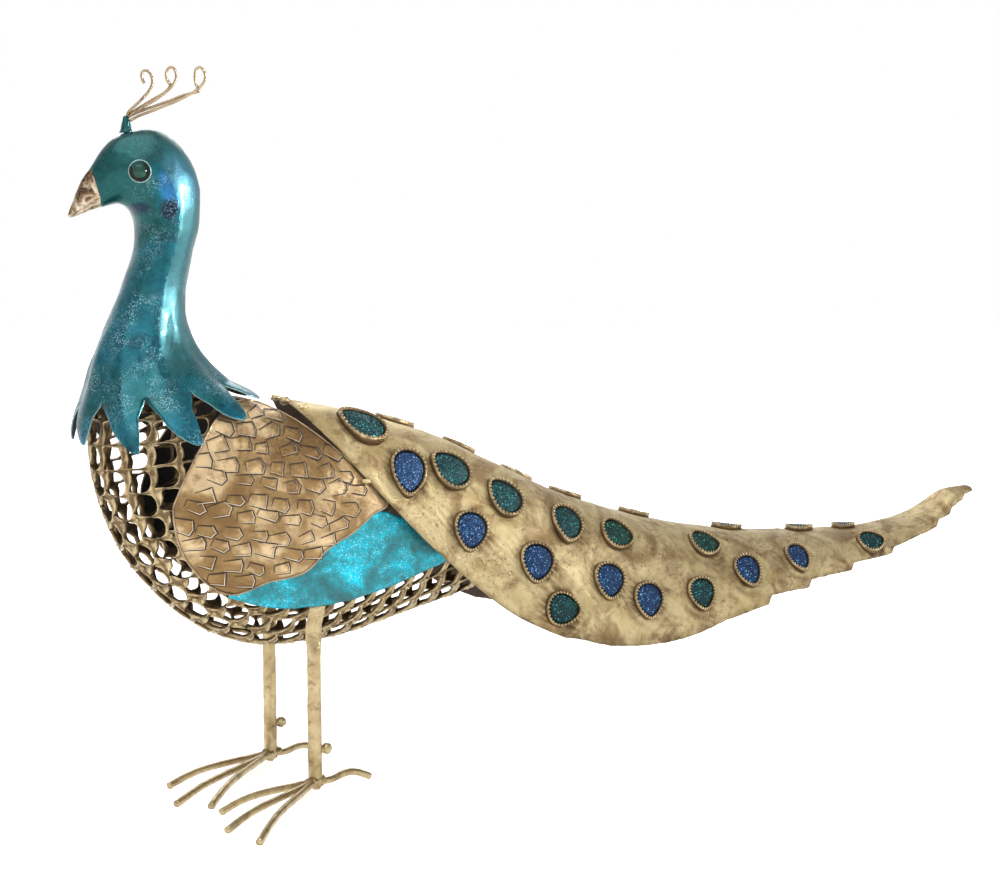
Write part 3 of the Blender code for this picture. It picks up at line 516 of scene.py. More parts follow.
def wing_bronze(name):
    f = Finish(name, (0.42, 0.29, 0.16), 0.36, 0.8)
    broad = f.noise(30 * MM, 4.0, 0.6, 0.5)
    fine = f.noise(2.2 * MM, 6.0, 0.7)
    colour = f.ramp(broad, [(0.40, (0.19, 0.110, 0.040)), (0.50, (0.29, 0.185, 0.078)),
                            (0.59, (0.58, 0.43, 0.245))])
    colour = f.mix(f.share(f.noise(7 * MM, 5.0, 0.7), 0.54, 0.74), colour, (0.15, 0.083, 0.036))
    # painted shade from the hollow number: darker along the wing's edge and between the raised marks
    colour = f.mix(f.times(f.told("shade_and_stain"), 0.75), colour, (0.11, 0.062, 0.030))
    f.set("Base Color", f.mix(f.share(fine, 0.60, 0.76), colour, f.mix(0.4, colour, (0.08, 0.045, 0.025))))
    f.set("Roughness", f.share(fine, -0.55, 1.7))
    f.relief((fine, 0.18, 0.25 * MM), (f.noise(8 * MM, 2.0), 0.3, 1.0 * MM))
    return f.mat


def turquoise_paint(name):
    """Bright turquoise patches broken over dark teal-grey, with fine glitter."""
    f = Finish(name, (0.01, 0.40, 0.50), 0.38, 0.6)
    broad = f.noise(20 * MM, 5.0, 0.65, 0.5)
    grain = f.noise(3 * MM, 8.0, 0.8)
    bright = f.plus(f.times(broad, 0.75), f.times(grain, 0.35))
    colour = f.ramp(bright, [(0.42, (0.025, 0.110, 0.122)), (0.53, (0.018, 0.21, 0.245)),
                             (0.62, (0.004, 0.38, 0.50)), (0.72, (0.005, 0.62, 0.82))])
    flakes = f.cells(0.6 * MM).outputs["Color"]
    spark = f.times(f.share(flakes, 0.80, 0.90), f.share(broad, 0.42, 0.6))
    f.set("Base Color", f.mix(spark, colour, (0.55, 0.85, 0.85)))
    f.set("Roughness", f.share(grain, -0.3, 1.8))
    f.relief((flakes, 0.25, 0.12 * MM), (grain, 0.35, 0.4 * MM))
    return f.mat


def druzy(name, deep, bright, glint):
    """Resin full of small crystals: each cell has its own tint, and a few carry painted glints."""
    f = Finish(name, deep, 0.22, 0.3)
    cells = f.cells(1.1 * MM)
    tint = cells.outputs["Color"]
    colour = f.mix(f.share(tint, 0.45, 0.85), deep, bright)
    colour = f.mix(f.share(f.noise(6 * MM, 3.0), 0.38, 0.62), f.mix(0.75, colour, deep), colour)
    small = f.cells(0.8 * MM).outputs["Color"]
    # painted glints: a few cells take the pale glint colour
    f.set("Base Color", f.mix(f.share(small, 0.83, 0.88), colour, glint))
    f.set("Roughness", f.share(tint, -0.2, 1.6))
    f.relief((cells.outputs["Distance"], 0.9, 0.5 * MM), (small, 0.6, 0.3 * MM))
    f.set("Specular IOR Level", 0.3)
    return f.mat


def bill_metal(name):
    f = Finish(name, (0.66, 0.60, 0.53), 0.30, 0.9)
    stain = f.noise(5 * MM, 6.0, 0.7, 1.0)
    stain = f.plus(stain, f.times(f.told("shade_and_stain"), 0.16))
    colour = f.ramp(stain, [(0.40, (0.60, 0.52, 0.43)), (0.49, (0.40, 0.31, 0.21)),
                            (0.57, (0.17, 0.105, 0.06)), (0.65, (0.05, 0.032, 0.022))])
    f.set("Base Color", colour)
    f.set("Roughness", f.share(stain, -0.2, 1.6))
    f.relief((f.noise(3 * MM, 4.0), 0.5, 0.6 * MM))
    return f.mat


def dark_inside(name, colour):
    """The unlit inner side of the sheets: bare and dull, painted dark as painted shade."""
    f = Finish(name, colour, 0.85, 0.1)
    worn = f.noise(8 * MM, 6.0, 0.7)
    f.set("Base Color", f.mix(f.share(worn, 0.45, 0.75), colour, tuple(c * 2.4 for c in colour)))
    f.relief((worn, 0.4, 0.6 * MM))
    return f.mat


def plain_edge(name, colour, roughness, metallic):
    """A bright cut edge, the painted shade of a cut line, or a painted highlight on a cut's lip, with a
    little grain.
    """
    f = Finish(name, colour, roughness, metallic)
    grain = f.noise(1.5 * MM, 5.0, 0.7)
    f.set("Base Color", f.mix(f.share(grain, 0.35, 0.75), colour, tuple(c * 0.55 for c in colour)))
    f.relief((grain, 0.4, 0.3 * MM))
    return f.mat


def eye_glass(name):
    f = Finish(name, (0.002, 0.03, 0.02), 0.06, 0.0)
    depth = f.noise(4 * MM, 2.0)
    f.set("Base Color", f.mix(f.share(depth, 0.35, 0.65), (0.001, 0.010, 0.007), (0.003, 0.055, 0.032)))
    f.set("Specular IOR Level", 0.35)
    return f.mat


TEAL = teal_paint("teal_paint", (0.004, 0.088, 0.078), (0.006, 0.150, 0.205), (0.001, 0.016, 0.036),
                  (0.014, 0.078, 0.086), (0.60, 0.90, 0.98))
GOLD = old_gold("antique_gold", (0.52, 0.42, 0.24), (0.37, 0.27, 0.135), (0.095, 0.052, 0.024))
WIRE_GOLD = old_gold("wire_gold", (0.40, 0.31, 0.19), (0.25, 0.175, 0.10), (0.075, 0.038, 0.03), 0.32)
BEZEL_GOLD = old_gold("bezel_gold", (0.72, 0.59, 0.35), (0.50, 0.38, 0.20), (0.10, 0.055, 0.025), 0.30)
TRAIN_GOLD = sheet_gold("tail_gold")
BRONZE = wing_bronze("wing_bronze")
TURQUOISE = turquoise_paint("flank_turquoise")
BILL = bill_metal("beak_metal")
STONES = {"blue": druzy("jewel_blue", (0.004, 0.020, 0.065), (0.010, 0.085, 0.23), (0.25, 0.50, 0.85)),
          "teal": druzy("jewel_teal", (0.001, 0.016, 0.020), (0.003, 0.085, 0.085), (0.10, 0.50, 0.48)),
          "green": druzy("jewel_green", (0.001, 0.018, 0.014), (0.004, 0.080, 0.055), (0.12, 0.48, 0.34))}
GLASS = eye_glass("eye_glass")
# painted shade on the inner sides of the neck, wing and flank sheets; the eye grooves use it too
BLACK = dark_inside("dark_inside", (0.006, 0.005, 0.004))
# painted shade on the inner side of the train
INSIDE_SHADE_BROWN = dark_inside("brown_inside_shade", (0.055, 0.035, 0.022))
# painted shade: dark ribbons stand for the wing's cut grooves
CUT = plain_edge("cut_line", (0.035, 0.018, 0.010), 0.6, 0.3)
# bright cut edges of the wing sheets, and painted highlights on the lips of the wing's cut lines
BRIGHT_EDGE_AND_HIGHLIGHT = plain_edge("bright_edge_and_highlight", (0.72, 0.60, 0.44), 0.3, 0.9)
PALE_EDGE = plain_edge("pale_edge", (0.30, 0.46, 0.45), 0.4, 0.5)


# Building pieces

def link(name, data):
    """A new object in the scene."""
    thing = bpy.data.objects.new(name, data)
    bpy.context.scene.collection.objects.link(thing)
    return thing


def tree_of(mesh, offset=Vector()):
    """A search tree over a mesh, moved back by offset."""
    return BVHTree.FromPolygons([v.co - offset for v in mesh.vertices],
                                [tuple(p.vertices) for p in mesh.polygons])


def add_piece(name, verts, faces, mats, replaces=(), values=None, wall=0.0, inside=None):
    """A mesh in the figure's place. values holds numbers for each point; wall thickens it inwards."""
    mesh = bpy.data.meshes.new(name)
    mesh.from_pydata([Vector(v) + SHIFT for v in verts], [], faces)
    for key, numbers in (values or {}).items():
        mesh.attributes.new(key, "FLOAT", "POINT").data.foreach_set("value", numbers)
    form = bmesh.new()
    form.from_mesh(mesh)
    bmesh.ops.recalc_face_normals(form, faces=form.faces)
    if inside is not None:
        core = Vector(inside) + SHIFT
        if sum((f.calc_center_median() - core).dot(f.normal) * f.calc_area() for f in form.faces) < 0:
            bmesh.ops.reverse_faces(form, faces=form.faces)
    form.to_mesh(mesh)
    form.free()
    mesh.shade_smooth()
    for mat in mats:
        mesh.materials.append(mat)
    piece = link(name, mesh)
    if wall:
        skin = piece.modifiers.new("wall", "SOLIDIFY")
        skin.thickness = wall
        skin.offset = -1.0
        skin.material_offset = min(1, len(mats) - 1)
        skin.material_offset_rim = min(2, len(mats) - 1)
    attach(piece, "root")
    if replaces:
        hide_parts(*replaces)
    return piece


def ring_faces(rings, columns, closed=True, first=0):
    """Quads between rings of equal size, stored one after another from first."""
    faces = []
    for r in range(rings - 1):
        for c in range(columns if closed else columns - 1):
            d = (c + 1) % columns
            low, high = first + r * columns, first + (r + 1) * columns
            faces.append((low + c, low + d, high + d, high + c))
    return faces


class Form:
    """Points, faces and their numbers, gathered from several shapes."""

    def __init__(self):
        self.verts, self.faces, self.shade_and_stain = [], [], []

    def add(self, verts, faces, shade_and_stain=0.0):
        base = len(self.verts)
        self.verts += [Vector(v) for v in verts]
        self.faces += [tuple(k + base for k in face) for face in faces]
        self.shade_and_stain += list(shade_and_stain) if isinstance(shade_and_stain, (list, tuple)) else [shade_and_stain] * len(verts)

    def tube(self, path, radius, sides=12, shade_and_stain=0.0, ends=True):
        """A rod along a path. radius is one number, or one or a pair for each point."""
        verts = []
        axis = None
        for i, here in enumerate(path):
            ahead = path[min(i + 1, len(path) - 1)]
            behind = path[max(i - 1, 0)]
            along = (ahead - behind).normalized()
            if axis is None:
                axis = along.cross(Vector((0, 1, 0)))
                if axis.length < 0.2:
                    axis = along.cross(Vector((1, 0, 0)))
            axis = (axis - along * axis.dot(along)).normalized()
            other = along.cross(axis)
            size = radius[i] if isinstance(radius, (list, tuple)) else radius
            wide, deep = size if isinstance(size, tuple) else (size, size)
            for k in range(sides):
                turn = 2 * pi * (k + 0.5) / sides
                verts.append(here + axis * (wide * cos(turn)) + other * (deep * sin(turn)))
        faces = ring_faces(len(path), sides)
        if ends:
            faces.append(tuple(range(sides))[::-1])
            faces.append(tuple(range(len(verts) - sides, len(verts))))
        self.add(verts, faces, shade_and_stain)

    def blob(self, place, size, lumps=0.15, sides=14, seed=0.0, shade_and_stain=0.0):
        """A lumpy drop of solder. size is a radius for each axis."""
        rings = sides // 2
        verts = [place + Vector((0, 0, size[2]))]
        for r in range(1, rings):
            for k in range(sides):
                polar, turn = pi * r / rings, 2 * pi * k / sides
                out = Vector((sin(polar) * cos(turn), sin(polar) * sin(turn), cos(polar)))
                grow = 1 + lumps * noise.noise(out * 1.8 + Vector((seed, 0, 3 * seed)))
                verts.append(place + Vector([o * s * grow for o, s in zip(out, size)]))
        verts.append(place - Vector((0, 0, size[2])))
        faces = ring_faces(rings - 1, sides, first=1)
        faces += [(0, 1 + k, 1 + (k + 1) % sides) for k in range(sides)]
        last = len(verts) - 1
        faces += [(last, last - 1 - k, last - 1 - (k + 1) % sides) for k in range(sides)]
        self.add(verts, faces, shade_and_stain)

    def dented(self, depth, size, seed=0.0):
        """Moves every point by noise, so that nothing is quite straight."""
        for v in self.verts:
            p = v.copy()
            v.x += depth * rough(p, size, seed)
            v.y += depth * rough(p, size, seed + 11)
            v.z += depth * rough(p, size, seed + 23)
        return self

    def make(self, name, mats, slot, replaces=()):
        return add_piece(name, self.verts, self.faces, mats, replaces, {"shade_and_stain": self.shade_and_stain})


def flat_sections(sections, count):
    """count sections at equal distances along the smooth run of a list of sections."""
    line = smooth_line([(*a, *b, w) for a, b, w in sections], 8)
    return [((s[0], s[1]), (s[2], s[3]), s[4]) for s in even_points(line, count)]


def section_middle(section):
    return (section_point(section, 0) + section_point(section, pi)) / 2


def section_point(section, turn):
    """A point round one section: turn 0 is the front or under edge, half a turn the back."""
    (ax, az), (bx, bz), wide = section
    middle = Vector((ax + bx, 0, az + bz)) * (MM / 2)
    under = Vector((ax, 0, az)) * MM - middle
    return middle + under * cos(turn) + Vector((0, wide * MM * sin(turn), 0))


# Head, neck and collar

NECK_RINGS = 96
NECK_COLUMNS = 100
NECK_SHEET = 1.2 * MM
WELD_GRID = 0.02 * MM
BACK_FROM = radians(97)
# Middle and reach of the painted highlight behind the eye, in drawn millimetres
BLUE_HIGHLIGHT_PATCH = ((-392, 533), (21, 27))
BLOTS = [(1.0, (-402, 511), (9, 10)), (0.7, (-425, 512), (12, 8))]
LEAF_STEPS = 22
LEAF_ACROSS = 5
BILL_RINGS = 30
BILL_COLUMNS = 40
EYE_SIDES = 48
EYE_RING = [(9.5, -1.5), (9.6, 1.5), (9.35, 2.0), (8.95, 2.0), (8.75, 1.5), (8.75, -0.4)]
EYE_GROOVE = [(8.85, 1.6), (7.4, 1.5), (5.4, 1.3)]
DOME_RINGS = 12
EYE_DOME = [(6.2 * cos(k * pi / 24), 1.2 + 3.6 * sin(k * pi / 24)) for k in range(DOME_RINGS)]


def neck_point(section, ring, turn):
    """A point of the neck's skin, with its crease, dents and the folds that run down to the leaves."""
    point = section_point(section, turn)
    out = (point - section_middle(section)).normalized()
    off = min(turn % (2 * pi), -turn % (2 * pi)) - BACK_FROM
    crease = 1.5 * hump(off, 0, radians(12)) * ease(0, 18, ring) * (1 - ease(80, 96, ring))
    fold = -1.3 * cos(LEAVES * turn) * ease(58, NECK_RINGS - 1, ring)
    dents = (0.9 * rough(point, 22 * MM) + 0.4 * rough(point, 7 * MM, 5)) * ease(0, 6, ring)
    return point + out * ((crease + fold + dents) * MM)


def blue_paint_and_highlight(point):
    """How blue the paint is: a patch behind the eye, which is a painted highlight, none on the face, and
    clouds down the neck.
    """
    x, z = point.x / MM, point.z / MM
    return min(1.0, 1.7 * patch_at(x, z, *BLUE_HIGHLIGHT_PATCH) + 0.62 * (1 - ease(470, 510, z)))


def blotch(point):
    """The near-black smudges under the eye's rear and on the throat."""
    x, z = point.x / MM, point.z / MM
    return min(1.0, sum(weight * patch_at(x, z, middle, reach) for weight, middle, reach in BLOTS))


def make_neck():
    """The hollow neck and head, ending in a ring of leaves. Its back strip is smoother."""
    verts, back = [], []
    sections = flat_sections(NECK_SECTIONS, NECK_RINGS)
    for ring, section in enumerate(sections):
        for k in range(NECK_COLUMNS):
            turn = 2 * pi * k / NECK_COLUMNS
            off = min(turn, 2 * pi - turn) - BACK_FROM
            verts.append(neck_point(section, ring, turn))
            back.append(ease(-radians(4), radians(7), off) * ease(10, 26, ring) * (1 - ease(84, 95, ring)))
    faces = ring_faces(NECK_RINGS, NECK_COLUMNS)
    faces.append(tuple(range(NECK_COLUMNS))[::-1])
    last = sections[-1]
    base = section_point(last, 0).lerp(section_point(last, pi), 0.5)
    blue, blot = [blue_paint_and_highlight(v) for v in verts], [blotch(v) for v in verts]
    leaf_verts, leaf_faces = make_leaves(last, base)
    first = len(verts)
    verts += leaf_verts
    faces += [tuple(k + first for k in face) for face in leaf_faces]
    back += [0.0] * len(leaf_verts)
    across = 2 * LEAF_ACROSS + 1
    blue += [0.5 + 0.22 * ease(0.2, 0.9, k // across % (LEAF_STEPS + 1) / LEAF_STEPS)
             for k in range(len(leaf_verts))]
    blot += [0.0] * len(leaf_verts)
    verts, faces, values = weld(verts, faces, {"back": back, "blue": blue, "blot": blot})
    add_piece("neck_skin", verts, faces, [TEAL, BLACK, PALE_EDGE], ["neck_and_head"],
              values, NECK_SHEET, base)


def weld(verts, faces, values):
    """Joins points that lie on each other. Gives the new points, faces and values."""
    places, kept, renamed = {}, [], []
    for number, vert in enumerate(verts):
        key = tuple(round(c / WELD_GRID) for c in vert)
        if key not in places:
            places[key] = len(kept)
            kept.append(number)
        renamed.append(places[key])
    faces = [tuple(renamed[k] for k in face) for face in faces]
    return ([verts[k] for k in kept], [f for f in faces if len(set(f)) == len(f)],
            {key: [numbers[k] for k in kept] for key, numbers in values.items()})


def leaf_tip_curve(turn):
    fx, fz = LEAF_FRONT
    bx, bz = LEAF_BACK
    return Vector(((fx + bx) / 2 + (fx - bx) / 2 * cos(turn), LEAF_HALF_WIDTH * sin(turn),
                   (fz + bz) / 2 + (fz - bz) / 2 * cos(turn) - LEAF_DROOP * sin(turn) ** 2)) * MM


def make_leaves(last, base):
    """The collar: slender leaves cut from the neck's foot, swept back and folded along their middles."""
    verts, faces = [], []
    half = pi / LEAVES
    across = 2 * LEAF_ACROSS + 1
    for leaf in range(LEAVES):
        first = len(verts)
        middle = 2 * pi * (leaf + 0.5) / LEAVES
        for step in range(LEAF_STEPS + 1):
            along = step / LEAF_STEPS
            width = (1 - along ** 2.2) ** 0.85 * (1 - 0.34 * ease(0, 0.4, along))
            sweep = 0.16 * sin(middle) * along ** 1.5
            for k in range(-LEAF_ACROSS, LEAF_ACROSS + 1):
                share = k / LEAF_ACROSS
                turn = middle + share * half * width
                root = neck_point(last, NECK_RINGS - 1, turn)
                out = Vector((root.x - base.x, root.y, 0)).normalized()
                lift = 2.2 * sin(pi * along) + 1.5 * along ** 2
                lift += 1.3 * (1 - abs(share)) * along * (1 - along)
                point = root.lerp(leaf_tip_curve(turn + sweep), along) + out * (lift * MM)
                point += out * (0.9 * MM * rough(root, 14 * MM, leaf) * along)
                reach = side_of_body(point.x, point.z, LEAF_LIFT)
                if 0 < abs(point.y) < reach and reach > LEAF_LIFT * 3:
                    point.y = reach if point.y > 0 else -reach
                verts.append(point)
        faces += ring_faces(LEAF_STEPS + 1, across, closed=False, first=first)
    return verts, faces


def make_bill():
    """The bare beak, with the line of its mouth pressed in."""
    verts, shade_and_stain = [], []
    columns, rings = BILL_COLUMNS, BILL_RINGS
    for ring, section in enumerate(flat_sections(BEAK_SECTIONS, rings)):
        middle = section_middle(section)
        for k in range(columns):
            turn = 2 * pi * k / columns
            point = section_point(section, turn)
            off = min(turn, 2 * pi - turn) - radians(52)
            mouth = hump(off, 0, radians(7)) * ease(0, 4, ring) * (1 - ease(rings - 7, rings - 2, ring))
            out = (point - middle).normalized()
            fade = 1 - ease(rings * 0.7, rings - 1, ring)
            verts.append(point + out * ((0.6 * rough(point, 9 * MM, 3) * fade - 0.9 * mouth - 0.15) * MM))
            high = ease(radians(95), radians(165), min(turn, 2 * pi - turn))
            shade_and_stain.append(max(mouth * 0.8, high * (1 - ease(2, rings * 0.55, ring)) * 1.1))
    faces = ring_faces(rings, columns)
    faces.append(tuple(range(columns))[::-1])
    faces.append(tuple(range(len(verts) - columns, len(verts))))
    add_piece("bill", verts, faces, [BILL], ["beak"], {"shade_and_stain": shade_and_stain})


def make_eyes():
    """A gold wire ring, a dark groove and a dark green glass dome on each side of the head."""
    tree = tree_of(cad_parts["neck_and_head"].data)
    for word, side in SIDES:
        spot = Vector((EYE_PLACE[0] * MM, 0, EYE_PLACE[1] * MM)) + SHIFT
        spot, out, _, _ = tree.ray_cast(spot + Vector((0, side * 0.2, 0)), Vector((0, -side, 0)))
        spot -= SHIFT
        ahead = (Vector((1, 0, 0)) - out * out.x).normalized()
        other = out.cross(ahead)

        def rings(profile):
            points = []
            for radius, height in profile:
                for k in range(EYE_SIDES):
                    turn = 2 * pi * k / EYE_SIDES
                    points.append(spot + ahead * (radius * MM * cos(turn)) + other * (radius * MM * sin(turn))
                                  + out * (height * MM))
            return points

        metal = Form()
        metal.add(rings(EYE_RING), ring_faces(len(EYE_RING), EYE_SIDES))
        metal.make("eye_bezel_" + word, [PALE_EDGE], "antique_gold", ["eye_ring_" + word])
        add_piece("eye_groove_" + word, rings(EYE_GROOVE), ring_faces(len(EYE_GROOVE), EYE_SIDES), [BLACK])
        dome = rings(EYE_DOME)
        faces = ring_faces(DOME_RINGS, EYE_SIDES)
        faces.append(tuple(range(len(dome) - EYE_SIDES, len(dome))))
        add_piece("eye_dome_" + word, dome, faces, [GLASS], ["eye_glass_" + word])


# Crest

WIRE_RADIUS = 1.25 * MM
WIRE_APART = 1.5
NUB_RADII = (6.2, 5.2, 4.5, 4.2, 4.1, 3.9, 3.6, 3.2, 2.8, 2.3, 1.5)
CREST = {
    "front": [(-430, 589), (-428, 594), (-419, 603), (-411, 612), (-408, 619), (-409, 625),
              (-412.5, 628.5), (-416, 627.5), (-417, 623), (-415, 618)],
    "middle": [(-429, 589), (-421, 595), (-407, 604), (-396, 612.5), (-389.5, 620), (-387.5, 626),
               (-389.5, 631.5), (-393, 632.5), (-396, 628), (-395.5, 622), (-393, 617), (-398, 611),
               (-410, 603.5), (-423, 595), (-430, 590)],
    "back": [(-428, 586), (-419, 591), (-400, 599), (-381, 608), (-369, 616), (-363.5, 623), (-363, 629),
             (-366.5, 634), (-370.5, 632), (-371.5, 626), (-370.5, 619), (-368.5, 614), (-381, 610),
             (-400, 602), (-420, 594), (-430, 589)]}


def make_crest():
    """A stub and three wires, one ending in a hook and two folded back round a loop."""
    stub = Form()
    foot, top = (Vector((x, 0, z)) * MM for x, z in (NUB_FOOT, NUB_TOP))
    steps = len(NUB_RADII) - 1
    stub.tube([foot.lerp(top, k / steps) for k in range(steps + 1)], [MM * r for r in NUB_RADII], 16)
    stub.dented(0.5 * MM, 4 * MM)
    add_piece("crest_stub", stub.verts, stub.faces, [TEAL], ["crest_nub"],
              dict.fromkeys(("back", "blue", "blot"), [0.0] * len(stub.verts)))
    for word, route in CREST.items():
        wire = Form()
        line = smooth_line(route, 8)
        last = len(line) - 1
        turn_over = 0.0 if word == "front" else WIRE_APART
        path = [Vector((x, turn_over * (2 * k / last - 1), z)) * MM for k, (x, z) in enumerate(line)]
        wire.tube(path, WIRE_RADIUS, 10)
        wire.dented(0.25 * MM, 9 * MM, 4)
        wire.make("crest_strand_" + word, [WIRE_GOLD], "antique_gold", ["crest_wire_" + word])


# Openwork

CELL_ALONG = 22.6 * MM
CELL_ROUND = 24.0 * MM
CELL_COLUMNS = 5
CELL_SIDE = 7
HOLE = [(-0.40, -0.38), (-0.24, -0.41), (-0.04, -0.43), (0.16, -0.41), (0.31, -0.30), (0.40, -0.12),
        (0.41, 0.08), (0.34, 0.27), (0.20, 0.40), (0.0, 0.43), (-0.20, 0.415), (-0.41, 0.39),
        (-0.325, 0.2), (-0.285, 0.0), (-0.32, -0.2)]
# Each ring round a hole: share of the way to the hole, depth under the skin and darkness. The darkness is
# painted shade: brown in the valley between lips, on the hole's inner wall and underside, none on the raised
# lip
STRAND_RINGS = [(0.0, 0.1, 0.75), (0.45, -0.2, 0.5), (0.78, -1.0, 0.0), (0.93, -0.8, 0.0), (1.0, 0.2, 0.35),
                (0.98, 2.0, 1.0), (0.55, 2.9, 1.0), (0.0, 3.2, 1.0)]
WANDER = 1.1 * MM
MERGE_WITHIN = 0.03 * MM
DROPS = 90


def cell_rim():
    """Points round a square cell of size 1, CELL_SIDE to a side, from its low front corner."""
    corners = [(-0.5, -0.5), (0.5, -0.5), (0.5, 0.5), (-0.5, 0.5)]
    rim = []
    for a, b in zip(corners, corners[1:] + corners[:1]):
        rim += [(a[0] + (b[0] - a[0]) * k / CELL_SIDE, a[1] + (b[1] - a[1]) * k / CELL_SIDE)
                for k in range(CELL_SIDE)]
    return rim


def hole_reach():
    """Pairs of direction and distance of the hole's outline from the cell's middle."""
    return wrapped((atan2(v, u), hypot(u, v)) for u, v in smooth_line(HOLE, 12, closed=True))


def rear_lean(along, girth, side):
    """The direction in a cell, from its outward side, in which the bird's rear lies."""
    step = 1 * MM
    out = body_point(along, girth + side * step) - body_point(along, girth - side * step)
    run = body_point(along + step, girth) - body_point(along - step, girth)
    return atan2(run.normalized().x, out.normalized().x)


def make_openwork():
    """Fish-scale openwork. Each hole is round at the rear and hollowed in front."""
    rim, reach = cell_rim(), hole_reach()
    rows = round(LATTICE_RUN / CELL_ALONG)
    pitch = LATTICE_RUN / rows
    dice = random.Random(SEED)
    form = Form()
    for side in (-1, 1):
        for column in range(CELL_COLUMNS):
            for row in range(rows):
                lean = rear_lean((row + 0.5) * pitch, side * (column + 0.5) * CELL_ROUND, side)
                verts, shade_and_stain = [], []
                for share, depth, dirt_and_shade in STRAND_RINGS:
                    for ru, rv in rim:
                        turn = atan2(rv, ru)
                        size = value_at(reach, (turn - lean + pi) % (2 * pi) - pi)
                        size *= 1.07 + 0.06 * rough((row + rv, column + ru, side), 0.6, 3)
                        u, v = ru + (size * cos(turn) - ru) * share, rv + (size * sin(turn) - rv) * share
                        girth = side * (column + 0.5 + u) * CELL_ROUND
                        along = (row + 0.5 + v) * pitch
                        wander = Vector((along, girth, 0))
                        girth += WANDER * rough(wander, 12 * MM, 1)
                        along += WANDER * rough(wander, 12 * MM, 2)
                        lump = 0.5 * rough(wander, 6 * MM, 5) + 0.5 * rough(wander, 2.6 * MM, 9)
                        verts.append(body_point(along, girth, (depth + lump) * MM))
                        # painted shade: darker the deeper the strand lies
                        shade_and_stain.append(min(max(dirt_and_shade + 0.5 * lump, 0.0), 1.0))
                count = len(rim)
                faces = ring_faces(len(STRAND_RINGS), count)
                last = (len(STRAND_RINGS) - 1) * count
                for edge, open_edge in ((0, row == 0), (1, column == CELL_COLUMNS - 1), (2, row == rows - 1)):
                    for k in range(edge * CELL_SIDE, (edge + 1) * CELL_SIDE if open_edge else 0):
                        d = (k + 1) % count
                        faces.append((d, k, last + k, last + d))
                form.add(verts, faces, shade_and_stain)
    shell = bmesh.new()
    key = shell.verts.layers.float.new("shade_and_stain")
    for place, value in zip(form.verts, form.shade_and_stain):
        shell.verts.new(place)[key] = value
    shell.verts.ensure_lookup_table()
    for face in form.faces:
        shell.faces.new([shell.verts[k] for k in face])
    bmesh.ops.remove_doubles(shell, verts=shell.verts, dist=MERGE_WITHIN)
    shell.verts.index_update()
    joined = Form()
    joined.add([v.co for v in shell.verts], [[v.index for v in f.verts] for f in shell.faces],
               [v[key] for v in shell.verts])
    shell.free()
    for _ in range(DROPS):
        along = dice.randrange(1, rows) * pitch
        girth = dice.randrange(-CELL_COLUMNS + 1, CELL_COLUMNS) * CELL_ROUND
        size = dice.uniform(1.5, 2.6) * MM
        joined.blob(body_point(along, girth, -0.2 * MM), (size, size, size * 0.9), 0.6, 8, dice.random() * 9)
    add_piece("openwork", joined.verts, joined.faces, [GOLD], ["body_openwork"],
              {"shade_and_stain": joined.shade_and_stain}, inside=(BODY_X, 0, BODY_Z))


# Wings and flanks

WING_SHEET = 0.9 * MM
WING_RINGS = 72
WING_STEPS = 15
MARK_PITCH = (20.5, 14.5)
MARK_SLOPE = 3.0
MARK_WIDTH = 1.2 * MM
MARK_EDGE = 4.5
MARK_ROWS = 7
MARK_COLUMNS = 6
MARK_CLOSED = 0.45
FLANK_SHEET = 0.8 * MM
FLANK_COLUMNS = 90
FLANK_ROWS = 36


def inside_line(x, z, line):
    """True if the point lies in the closed line."""
    inside = False
    for (ax, az), (bx, bz) in zip(line, line[1:] + line[:1]):
        if (az > z) != (bz > z) and x < ax + (bx - ax) * (z - az) / (bz - az):
            inside = not inside
    return inside


def wing_marks():
    """Corner points in drawn millimetres of the feather marks: uneven quadrilaterals, open in front."""
    dice = random.Random(SEED)
    outline = smooth_line(WING_OUTLINE, 4, closed=True)
    marks = []
    for row in range(-MARK_ROWS, MARK_ROWS + 1):
        for column in range(-MARK_COLUMNS, MARK_COLUMNS + 1):
            x = WING_CENTRE[0] + (column + (row % 2) / 2) * MARK_PITCH[0] + dice.uniform(-2.5, 2.5)
            z = WING_CENTRE[1] + row * MARK_PITCH[1] - column * MARK_SLOPE + dice.uniform(-2, 2)
            gap = min(hypot(x - a, z - b) for a, b in outline)
            lean = dice.uniform(-0.40, 0.35)
            wide, tall = dice.uniform(7.0, 10.5), dice.uniform(4.6, 6.6)
            point, skew = dice.uniform(0.6, 1.25), dice.uniform(-2.2, 2.2)
            start = dice.uniform(0.55, 1.0)
            closed = dice.random() < MARK_CLOSED
            if gap < MARK_EDGE or not inside_line(x, z, outline):
                continue
            corners = [(-wide * start, -tall * 0.8 + skew * 0.3), (wide * 0.7, -tall + skew * 0.5),
                       (wide * point, skew * 0.5), (wide * 0.65, tall),
                       (-wide * 0.9, tall * 0.75 - skew * 0.4)]
            if closed:
                corners.append((-wide, -tall * 0.45))
            marks.append([(x + u * cos(lean) - v * sin(lean), z + u * sin(lean) + v * cos(lean))
                          for u, v in corners])
    return marks


